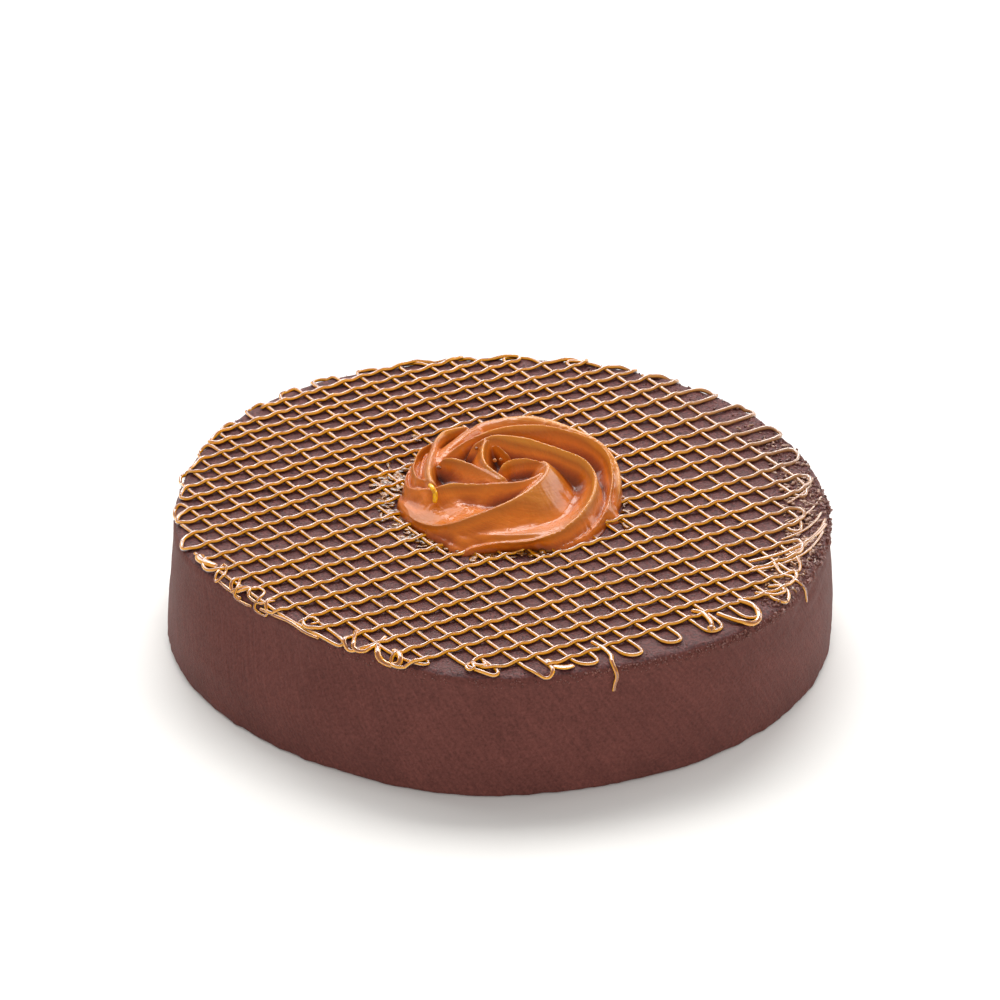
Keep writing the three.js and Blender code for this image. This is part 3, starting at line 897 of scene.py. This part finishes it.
# %% Shreds of caramel
def shred(draw, spot, heading, length, half_width, half_height, lift):
    """A torn scrap that starts at a spot in plan and runs along a heading in radians."""
    spots = [spot]
    for _ in range(3):
        heading += draw.uniform(-0.8, 0.8)
        spot = spot + length / 3 * np.array([math.cos(heading), math.sin(heading)])
        spots.append(spot)
    path = smooth_path(spots, 0.4)
    height = top_height(*path.T) + lift + 0.3 * noise(path, 2.0, 91)
    ragged = np.clip(1 + 0.7 * noise(path, 1.7, 92), 0.3, None)
    return sweep(np.column_stack([path, height]), half_width * ragged, half_height * ragged)


# Middle azimuth and half spread, nearest and farthest from the centre, count, smallest and
# largest half width, and smallest and largest half height.
SHREDS_BY_ROSETTE = [
    (182, 44, 35, 45, 62, 0.4, 1.1, 0.2, 0.45),
    (178, 34, 37, 43, 16, 1.4, 2.4, 0.2, 0.35),
    (236, 16, 37, 43, 30, 0.4, 1.1, 0.2, 0.45),
    (276, 26, 35, 41, 40, 0.4, 1.2, 0.2, 0.45),
    (128, 6, 44, 54, 7, 0.7, 1.5, 0.3, 0.5),
    (343, 10, 37, 42, 6, 0.4, 1.2, 0.25, 0.4),
]
SHREDS_AT_RIGHT = [
    (352, 22, 97, 111, 190, 0.3, 0.7, 0.2, 0.4),
    (342, 14, 102, 111, 60, 0.3, 0.8, 0.2, 0.4),
    (18, 20, 99, 111, 60, 0.25, 0.5, 0.2, 0.35),
]


def shreds(name, centre, regions, longest, draw):
    parts = []
    for middle, spread, near, far, count, thin, wide, flat, tall in regions:
        for _ in range(count):
            azimuth = math.radians(middle + spread * draw.uniform(-1, 1))
            spot = centre + draw.uniform(near, far) * np.array([math.cos(azimuth), math.sin(azimuth)])
            run = math.radians(draw.choice([LOWER_AZIMUTH, UPPER_AZIMUTH]) + 180 * draw.integers(2))
            half_width = draw.uniform(thin, wide)
            parts.append(shred(draw, spot, run, draw.uniform(0.35, 1) * longest, half_width,
                               draw.uniform(flat, tall), draw.uniform(0.1, 0.9)))
    mark_strands(add_piece(name, *join(parts), torn_caramel, "caramel"))


shreds("shreds_by_rosette", ROSETTE_AT, SHREDS_BY_ROSETTE, 7.5, np.random.default_rng(7))
shreds("shreds_at_right", np.zeros(2), SHREDS_AT_RIGHT, 3.2, np.random.default_rng(8))

# %% [markdown]
# The spatula tore the skin of the ganache along the rim, most of all at the right. The crumbs are
# small angular lumps, half sunk in the skin. Each is a coarse ball of twenty faces whose corners
# are pushed in and out at random, so no two are the same.

# %% Crumbs of ganache along the rim
def crumb_shape():
    ball = bmesh.new()
    bmesh.ops.create_icosphere(ball, subdivisions=1, radius=1)
    points = np.array([v.co[:] for v in ball.verts])
    faces = [tuple(v.index for v in f.verts) for f in ball.faces]
    ball.free()
    return points, faces


# Middle azimuth and half spread, distances past the rim, count, smallest and largest radius.
CRUMBS = [
    (357, 32, -14, -0.5, 640, 0.3, 0.85),
    (348, 22, -6, 1.5, 260, 0.5, 1.15),
    (285, 48, 0.6, 3.4, 260, 0.15, 0.42),
    (304, 22, 0.2, 2.6, 240, 0.2, 0.5),
    (40, 40, -9, -0.5, 160, 0.25, 0.6),
    (350, 26, -1, 3, 120, 0.25, 0.6),
    (200, 150, -4, 1, 150, 0.15, 0.35),
]


def crumbs():
    draw = np.random.default_rng(9)
    ball, ball_faces = crumb_shape()
    parts = []
    for middle, spread, near, far, count, small, large in CRUMBS:
        azimuth = middle + spread * draw.uniform(-1, 1, count)
        spots, normals = on_skin(azimuth, draw.uniform(near, far, count))
        for spot, normal in zip(spots, normals):
            corners = ball * draw.uniform(0.55, 1.25, (len(ball), 1)) * draw.uniform(0.6, 1.2, 3)
            size = draw.uniform(small, large)
            parts.append((spot + normal * 0.3 * size + corners * size, ball_faces))
    add_piece("rim_crumbs", *join(parts), torn_ganache, "ganache").data.shade_flat()


crumbs()

# %% [markdown]
# The rosette is squeezed from a star nozzle in one clockwise spiral. The nozzle's teeth leave
# sharp ridges with broad hollow faces between them. Under the ridges lies a low mound, the floor
# of the valleys, which is fuller at the back and the left. At the front it spreads as a skirt.

# %% The floor of the rosette's valleys
ROSETTE_RADIUS = 37.0
# Distance from the rosette's middle, and height above the cake's top.
VALLEYS = [(0, 8.5), (6, 9.5), (12, 11.5), (18, 8.4), (24, 6.0), (30, 3.8), (34, 2.6), (37.0, 0.4)]


def around_rosette(x, y):
    """Azimuth in degrees and distance from the rosette's middle."""
    dx, dy = x - ROSETTE_AT[0], y - ROSETTE_AT[1]
    return azimuth_of(dx, dy), np.hypot(dx, dy)


def from_rosette(azimuth, radius, z):
    """The points at these azimuths and distances from the rosette's middle, and at this height."""
    turned = np.radians(azimuth)
    return np.column_stack([ROSETTE_AT[0] + radius * np.cos(turned),
                            ROSETTE_AT[1] + radius * np.sin(turned), np.broadcast_to(z, turned.shape)])


def rosette_edge(azimuth):
    """Radius of the rosette's foot: a skirt at the right front, with a tip at either end of it."""
    return (ROSETTE_RADIUS + 3.6 * bump_at(azimuth, 305, 42) + 4.8 * bump_at(azimuth, 246, 15)
            + 4.0 * bump_at(azimuth, 341, 10) - 3.0 * bump_at(azimuth, 275, 22)
            - 2.5 * bump_at(azimuth, 214, 34))


def valley_height(x, y):
    """Height of the valley floor above the cake's top: a low mound, fuller at the back and left."""
    azimuth, radius = around_rosette(x, y)
    radii, heights = np.array(VALLEYS).T
    back = 6.0 * bump_at(azimuth, 80, 90) * ease(radius, 20, 27) * (1 - ease(radius, 31, 37))
    left = 5.0 * bump_at(azimuth, 168, 48) * ease(radius, 22, 27) * (1 - ease(radius, 31, 36))
    flap = 1.6 * bump_at(azimuth, 248, 18) * ease(radius, 33, 36) * (1 - ease(radius, 38, 42))
    inner_lobe = 3.6 * bump_at(azimuth, 226, 44) * ease(radius, 20, 26) * (1 - ease(radius, 31, 38))
    floor = np.interp(radius * ROSETTE_RADIUS / rosette_edge(azimuth), radii, heights)
    on_lobe = (ease(azimuth, 176, 198) * (1 - ease(azimuth, 232, 250)) * ease(radius, 28, 32)
               * (1 - ease(radius, 37.4, 39.4)))
    lobe = np.maximum(4.6 + 0.32 * (38 - radius) - floor, 0) * on_lobe
    shelf_edge = 37.5 - 6.0 * ease(azimuth, 292, 342)
    on_shelf = (ease(azimuth, 246, 264) * (1 - ease(azimuth, 344, 358))
                * (1 - ease(radius, shelf_edge - 3, shelf_edge + 1)))
    shelf_level = 4.9 + 0.13 * (radius - 26) + 1.4 * ease(azimuth, 300, 345)
    shelf = np.maximum(shelf_level - floor, 0) * on_shelf
    return floor + back + left + flap + shelf + np.maximum(lobe, inner_lobe)


print("rosette's foot at the front, mm:", round(float(rosette_edge(270)), 1))

# %% [markdown]
# The crests follow the photograph. Each ridge has the width of its inner and outer face, its
# outward lean, and the knots of its crest: azimuth, distance from the rosette's middle, and height
# above the cake's top. Several widths or leans are spread evenly along the ridge. A few ridges
# were piped last and round, or pushed over, and their crest is a round lobe.

# %% The rosette's crests
RIDGES = {
    "outer_back": (7, 6.5, 0.0, [
        (120, 27, 12), (112, 29.5, 14), (104, 31, 14.8), (83, 33.6, 15.6), (67, 34.2, 15.6),
        (48, 34.4, 15), (34, 36.5, 14), (23, 38.4, 12), (12, 39, 9.5), (0, 38.5, 7), (352, 38, 4.5),
        (344, 37.5, 2.5)]),
    "second_left": (5, 7, 0.0, [
        (176, 25, 11.5), (161, 24, 13), (150, 23.6, 14.2), (135, 23.6, 15.4), (118, 26.6, 15.4),
        (106, 29, 14)]),
    "second": (6, 6, 0.1, [
        (172, 24.6, 11), (160, 23, 13), (150, 21.2, 15), (138, 20.4, 16), (118, 20, 17),
        (102, 21.3, 17.3), (83, 23.6, 17.4), (62, 27, 17.2), (46, 29.6, 16.6), (32, 34.6, 15),
        (20, 36.9, 12.2), (6, 36.4, 9.6), (352, 36, 7.4), (338, 36.8, 5.6), (322, 38.4, 3.8),
        (308, 39.6, 2.6), (295, 39, 1.6)]),
    "third": (5.5, (7, 7, 7, 6, 2, 1.2), (0.15, 0.15, 0.15, 0.2, 0.55, 0.4), [
        (150, 17, 15.6), (131, 14.8, 17.6), (116, 14.8, 18.4), (98, 14, 18.6), (66, 13.4, 18.6),
        (38, 15.3, 18), (20, 19.4, 17.2), (7, 26, 15.6), (354, 30, 13.4), (341, 31.6, 11.4),
        (328, 32.8, 9.8), (313, 34.8, 8), (297, 37, 6.4), (281, 38, 5.2), (265, 37.6, 4.3),
        (255, 39.4, 3.2), (248, 42.4, 1.8)]),
    "flap": (6, 2, 0.0, [
        (224, 38.2, 2.0), (231, 38.6, 2.5), (238, 39.2, 2.5), (245, 40.2, 2.1), (250, 40, 1.9),
        (257, 38, 2.6), (265, 36.4, 3.6)]),
    "petal": (5, 6, 0.0, [
        (110, 14, 17.8), (123, 13.4, 18.4), (137, 11.7, 18), (156, 9.7, 17.5), (180, 8.5, 17),
        (210, 8.2, 16.6), (237, 8.8, 16.2), (262, 11.2, 15.8), (275, 14, 15)]),
    "petal_fold": (3, 3, 0.0, [
        (121, 13.6, 18), (110, 10.6, 16.6), (97, 7.4, 15.4), (60, 4.6, 14)]),
    "left_petal": (5, 6, 0.0, [
        (172, 26, 12.5), (170, 24, 13.6), (169, 21.4, 14.6), (170, 18.2, 15), (178, 14.6, 15.2),
        (190, 11.8, 15.3), (225, 9.8, 15.3), (250, 11.3, 15.3), (272, 14, 15)]),
    "eye": (4, 4, 0.0, [
        (224, 6, 14), (221, 3.6, 14.8), (150, 0.8, 15.4), (43, 2.6, 15.8), (20, 6, 16),
        (8, 8.6, 16), (357, 11.4, 16), (350, 13.6, 15.8)]),
    "fourth": (7, (8, 11, 9, 3, 1.5, 1.5), (0, 0, 0.1, 0.4, 0.5, 0.5), [
        (14, 9.4, 15.8), (4, 11, 16), (352, 13.6, 16), (334, 14.8, 15.6), (312, 16, 15),
        (294, 18.2, 14.3), (277, 21.8, 13.5), (263, 25.6, 12.3), (252, 29.4, 10.9), (244, 33, 9.4),
        (237, 36, 7.8), (229, 37.8, 6), (217, 38.6, 4.6), (204, 38.4, 3.8), (192, 38, 3.5),
        (180, 37, 3)]),
    "fifth": (3.5, 8, 0.1, [
        (345, 13.8, 15.4), (331, 13.3, 15.2), (311, 12.8, 15), (291, 13.2, 15), (271, 13.5, 15),
        (251, 14.2, 14.6), (234, 16.4, 14.2), (220, 19.2, 13.8), (212, 22, 13.5), (208, 25.5, 12.8),
        (206, 28.2, 11.8), (201, 29.8, 10.8), (196, 32.4, 9.8), (190, 34.6, 8.6), (181, 35.3, 8),
        (172, 35.2, 8), (163, 34.4, 8.6), (154, 34.4, 9.6)]),
    "left_fold": (3, 3.5, 0.0, [
        (208, 27, 12), (199, 28.2, 12), (192, 29.4, 11.7), (186, 31.4, 11.2), (174, 32.8, 11),
        (163, 33.4, 11.2), (153, 34.2, 11.6), (143, 33.6, 11.6), (134, 33, 10.6), (125, 32, 8)]),
    "left_rib": (2, 2.5, 0.0, [
        (186, 29.6, 10), (179, 30.2, 10.4), (170, 30.4, 10.8), (160, 31, 11.2), (148, 32, 11.4)]),
    "left_inner": (3, 3, 0.0, [
        (208, 26.5, 12.2), (198, 27.6, 12.8), (185, 27.4, 13.2), (167, 27.4, 13.6),
        (155, 28.4, 13.8), (143, 31, 14), (132, 33.2, 14), (122, 32, 14.4), (112, 30, 14.6)]),
}
ROUNDED = ("outer_back", "second_left", "left_inner", "flap")  # their crest is a round lobe
HOLLOW = 2.0  # how hollow a face is: 1 would be flat
FLATTER = {"fourth": 1.45, "fifth": 1.7, "third": 1.7}  # ridges whose faces are less hollow
print("ridges:", len(RIDGES))

# %% [markdown]
# A ridge is a blade swept along its crest: on each side a hollow face falls from the crest to the
# floor of the valley. Crests are a little blunt, as soft caramel draws its edges round. At its
# ends a blade fades into the floor, and it never spreads past the rosette's foot.

# %% Blades
BLUNT = 0.045  # share of a face's width that stays at the crest's height
FACE_STEPS = np.array([0.02, 0.05, 0.1, 0.17, 0.26, 0.38, 0.54, 0.75, 1.0])
PATH_STEP = 0.8
BASE = HEIGHT - 0.2  # the rosette's underside, just under the ganache


def spread_along(values, count):
    """One value for each of count points, from a number or from several spread evenly."""
    return np.interp(np.linspace(0, 1, count), np.linspace(0, 1, np.size(values)),
                     np.atleast_1d(values))


def blade(inner, outer, lean, knots, rounded, hollow):
    """Points and faces of one ridge, from its crest down to the cake's top."""
    path = smooth_path(from_rosette(*np.array(knots, float).T), PATH_STEP)
    tangent = np.gradient(path[:, :2], axis=0)
    tangent /= np.linalg.norm(tangent, axis=1)[:, None]
    outward = np.column_stack([tangent[:, 1], -tangent[:, 0]])
    middle = len(path) // 2
    if outward[middle] @ (path[middle, :2] - ROSETTE_AT) < 0:
        outward = -outward
    run = np.linspace(0, len(path) * PATH_STEP, len(path))
    fade = ease(np.minimum(run, run[-1] - run), -2, 4)
    floor = valley_height(path[:, 0], path[:, 1])
    crest = floor + np.maximum(path[:, 2] - floor, 0) * fade
    facing, away = around_rosette(path[:, 0], path[:, 1])
    room = np.maximum(rosette_edge(facing) + 1 - away, 1.2)
    outer, lean = spread_along(outer, len(path)), spread_along(lean, len(path))
    rows = []
    for share, side, width in ([(s, -1, inner) for s in FACE_STEPS[::-1]] + [(0, 1, outer)]
                               + [(s, 1, outer) for s in FACE_STEPS]):
        wide = width * (0.35 + 0.65 * fade)
        wide = np.minimum(wide, room) if side > 0 else wide
        fall = max(share - BLUNT, 0) / (1 - BLUNT)
        held = (1 - share**2) ** 1.2 if rounded else (1 - fall) ** hollow
        rise = np.maximum(crest - floor, 0)
        shift = side * share * wide - lean * (1 - held) * rise
        spot = path[:, :2] + outward * shift[:, None]
        below = valley_height(spot[:, 0], spot[:, 1])
        level = below + np.maximum(crest - below, 0) * held
        rows.append(np.column_stack([spot, HEIGHT + np.maximum(level, 0.3)]))
    for edge in (rows[-1], rows[0]):
        rows.append(np.column_stack([edge[:, :2], np.full(len(edge), BASE)]))
    return np.stack(rows, axis=1).reshape(-1, 3), tube_faces(len(path), len(rows))


def mound():
    """The body under the blades: rings of the valley floor, with a flat base."""
    azimuth = np.linspace(0, 360, 96, endpoint=False)
    edge = rosette_edge(azimuth)
    rows = [from_rosette(azimuth, edge, BASE)]
    for share in (1.0, 0.98, 0.94, 0.88, 0.8, 0.7, 0.6, 0.5, 0.4, 0.3, 0.2, 0.1):
        row = from_rosette(azimuth, edge * share, HEIGHT)
        row[:, 2] += valley_height(row[:, 0], row[:, 1])
        rows.append(row)
    return np.concatenate(rows), tube_faces(len(rows), len(azimuth))


parts = [mound()] + [blade(*ridge, name in ROUNDED, FLATTER.get(name, HOLLOW))
                     for name, ridge in RIDGES.items()]
print("parts to fuse:", len(parts))

# %% [markdown]
# A fine voxel remesh fuses the mound and the blades into one closed skin, as the real one is.
# Smoothing takes the voxels' steps away, and a share of the faces is dropped where it is calm.
# The skin is then wrinkled, most of all on the skirt, where the caramel was dragged.

# %% One skin
VOXEL = 0.3 if FINE else 0.6  # mm
SMOOTHINGS = 14
KEPT_FACES = 0.44
SKIRT = 36  # mm from the middle, where the wrinkles are as wide as stated


def fused_rosette(parts):
    piece = add_piece("rosette_swirl", *join(parts), rosette_caramel, "caramel", "rosette")
    fuse = piece.modifiers.new("fuse", "REMESH")
    fuse.mode = "VOXEL"
    fuse.voxel_size = VOXEL * MM
    calm = piece.modifiers.new("calm", "SMOOTH")
    calm.factor = 0.5
    calm.iterations = SMOOTHINGS
    thin = piece.modifiers.new("thin", "DECIMATE")
    thin.ratio = KEPT_FACES
    bpy.context.view_layer.update()
    shape = piece.evaluated_get(bpy.context.evaluated_depsgraph_get())
    mesh = bpy.data.meshes.new_from_object(shape)
    piece.modifiers.clear()
    piece.data = mesh
    mesh.shade_smooth()
    print("rosette triangles:", sum(len(p.vertices) - 2 for p in mesh.polygons))
    return mesh


def wrinkle_skirt(mesh):
    """Wrinkle the skin, more at the outer back and most of all on the skirt at the right front."""
    points = read_points(mesh)
    azimuth, radius = around_rosette(*(points[:, :2] - AXIS).T)
    dragged = bump_at(azimuth, 312, 40) * ease(radius, 32, 36)
    dragged += 0.35 * bump_at(azimuth, 60, 75) * ease(radius, 28, 33) + 0.25
    turned = np.radians(azimuth)
    along = np.column_stack([SKIRT * np.cos(turned), SKIRT * np.sin(turned), radius, points[:, 2]])
    wrinkle = 0.34 * noise(along, (1.5, 1.5, 3, 3), 61) + 0.14 * noise(along, (0.8, 0.8, 1.6, 1.6), 62)
    points[:, 2] += dragged * wrinkle * ease(points[:, 2], HEIGHT, HEIGHT + 1)
    mesh.vertices.foreach_set("co", (points * MM).ravel())


rosette = fused_rosette(parts)
wrinkle_skirt(rosette)

# %% [markdown]
# The material paints shade into the folds, so it needs to know how deep each point lies among its
# neighbours. The skin's height is put on a grid seen from above and blurred over a few millimetres. A
# point well below the blurred height lies in a fold and gets the most painted shade. The other mark
# runs round the swirl, for the lines that the nozzle drew.

# %% Depth of the folds
CELL = 0.5  # mm
BLUR_CELLS = 7
SPAN = 50  # mm from the rosette's middle to the grid's side
DEPTH_RANGE = 7  # mm from a crest to the deepest fold
LINE_PITCH = 1.1  # mm


def blurred(level):
    """The grid averaged over a square, twice, along one axis after the other."""
    for _ in range(4):
        padded = np.pad(level, [(BLUR_CELLS, BLUR_CELLS), (0, 0)], mode="edge")
        summed = np.cumsum(padded, axis=0)
        level = ((summed[2 * BLUR_CELLS:] - summed[:-2 * BLUR_CELLS]) / (2 * BLUR_CELLS)).T
    return level


def mark_fold_shade_and_swirl(mesh):
    """Write the depth for the painted shade, 0 on a crest and 1 in a deep fold, and the coordinates
    round the swirl.
    """
    points = read_points(mesh)
    cells = int(2 * SPAN / CELL)
    spot = points[:, :2] - ROSETTE_AT - AXIS + SPAN
    i, j = np.clip((spot / CELL).astype(int), 0, cells - 1).T
    level = np.full((cells, cells), HEIGHT)
    np.maximum.at(level, (i, j), points[:, 2])
    # painted shade: the deeper a point lies below its neighbours, the darker the material paints it
    hollow = np.clip(0.42 + (blurred(level)[i, j] - points[:, 2]) / DEPTH_RANGE, 0, 1)
    write_attribute(mesh, "hollow", hollow)
    azimuth, radius = around_rosette(*(points[:, :2] - AXIS).T)
    turned = np.radians(azimuth)
    swirl = np.column_stack([3 * np.cos(turned), 3 * np.sin(turned), radius / LINE_PITCH])
    write_attribute(mesh, "swirl", swirl)
    print("mean depth mark:", round(float(hollow.mean()), 2))


mark_fold_shade_and_swirl(rosette)

# %% [markdown]
# A little thin syrup ran out of the caramel: one yellow drip over the left ridge, and a few clear
# droplets that catch the light. The drip is a thread that follows the ridge's outer face, and a
# droplet is a short thread as wide as it is long.

# %% Drip and droplets on the rosette
# Half width, half height, and the knots: azimuth and distance from the rosette's middle, and
# height above the cake's top.
SYRUP = {
    "drip": (0.85, 0.75, [
        (204.5, 29.6, 12.6), (206.5, 29.6, 13.0), (210, 29.7, 12.9), (213.2, 29.8, 12.0),
        (214.4, 30.1, 10.4), (215, 30.5, 8.6)]),
    "drop_left": (1.0, 0.8, [
        (186, 23.8, 13.5), (185, 23.8, 14.2), (184.4, 23.4, 14.6)]),
    "drop_eye_a": (0.75, 0.5, [
        (166, 5.4, 14.9), (160, 4.9, 15.1), (153, 4.4, 15.0)]),
    "drop_eye_b": (0.65, 0.45, [
        (146, 3.9, 15.0), (139, 3.3, 15.2), (130, 2.9, 15.1)]),
    "drop_back": (0.6, 0.45, [
        (142, 14.6, 15.4), (140, 14.2, 15.7), (138, 13.9, 15.6)]),
}


def syrup(piece_name, names, material):
    parts = []
    for half_width, half_height, knots in (SYRUP[name] for name in names):
        azimuth, radius, height = np.array(knots, float).T
        path = smooth_path(from_rosette(azimuth, radius, HEIGHT + height), 0.2)
        parts.append(sweep(path, half_width, half_height, (0, -0.6, 0.8)))
    mark_strands(add_piece(piece_name, *join(parts), material, "caramel"))


syrup("syrup_drip", ["drip"], clear_syrup)
syrup("syrup_drops", [name for name in SYRUP if name != "drip"], droplet_syrup)

# %% [markdown]
# The set is a plain pale floor, like a sheet of studio paper. It is wide enough that its far edge
# stays out of sight from any side.

# %% Floor
FAR = 6  # metres from the middle to the floor's edge
floor_mesh = bpy.data.meshes.new("floor")
floor_mesh.from_pydata([(-FAR, -FAR, 0), (FAR, -FAR, 0), (FAR, FAR, 0), (-FAR, FAR, 0)], [],
                       [(0, 1, 2, 3)])
floor = bpy.data.objects.new("floor", floor_mesh)
bpy.context.scene.collection.objects.link(floor)
paper, paper_tree = new_material("white_studio_paper")
paper_skin = add_node(paper_tree, "BsdfPrincipled",
                      {"Base Color": linear("#f2f0ec"), "Roughness": 0.7})
add_node(paper_tree, "OutputMaterial", Surface=paper_skin)
floor_mesh.materials.append(paper)
print("floor, metres across:", 2 * FAR)

# %% [markdown]
# The light is that of a product studio: two large soft boxes at the sides, a low one behind, one
# overhead towards the back, and one in front. The level parts of the top mirror what stands behind
# it, so the back and overhead boxes draw the bright lines on the strands. The front box only
# lights the wall: it is hidden from mirror images, because it would turn the rosette's steep faces
# milky. A bright surround fills the shadows.

# %% Light
AIM = Vector((0, 0, 0.03))  # metres
SOFT_BOXES = {  # place and size in metres, and watts
    "left": ((-0.9, 0.88, 1.1), (1.0, 1.0), 11),
    "right": ((1.3, 0.9, 0.7), (0.9, 1.0), 9),
    "back": ((0.1, 1.7, 0.95), (1.3, 0.25), 6),
    "overhead": ((0.08, 0.92, 1.28), (0.95, 0.7), 20),
    "front": ((0.3, -2.2, 1.0), (2.0, 1.2), 23),
}
SURROUND = 0.38


def soft_box(name, at, size, watts):
    light = bpy.data.lights.new(name, "AREA")
    light.shape = "RECTANGLE"
    light.size, light.size_y = size
    light.energy = watts
    box = bpy.data.objects.new(name, light)
    box.location = at
    box.rotation_euler = (AIM - Vector(at)).to_track_quat("-Z", "Y").to_euler()
    bpy.context.scene.collection.objects.link(box)
    return box


boxes = {name: soft_box("soft_box_" + name, *box) for name, box in SOFT_BOXES.items()}
boxes["front"].visible_glossy = False
world = bpy.data.worlds.new("studio_surround")
world.use_nodes = True
surround = world.node_tree.nodes["Background"].inputs
surround["Color"].default_value = (1, 1, 1, 1)
surround["Strength"].default_value = SURROUND
bpy.context.scene.world = world
bpy.context.scene.view_settings.view_transform = "Standard"
print("soft boxes:", len(boxes))
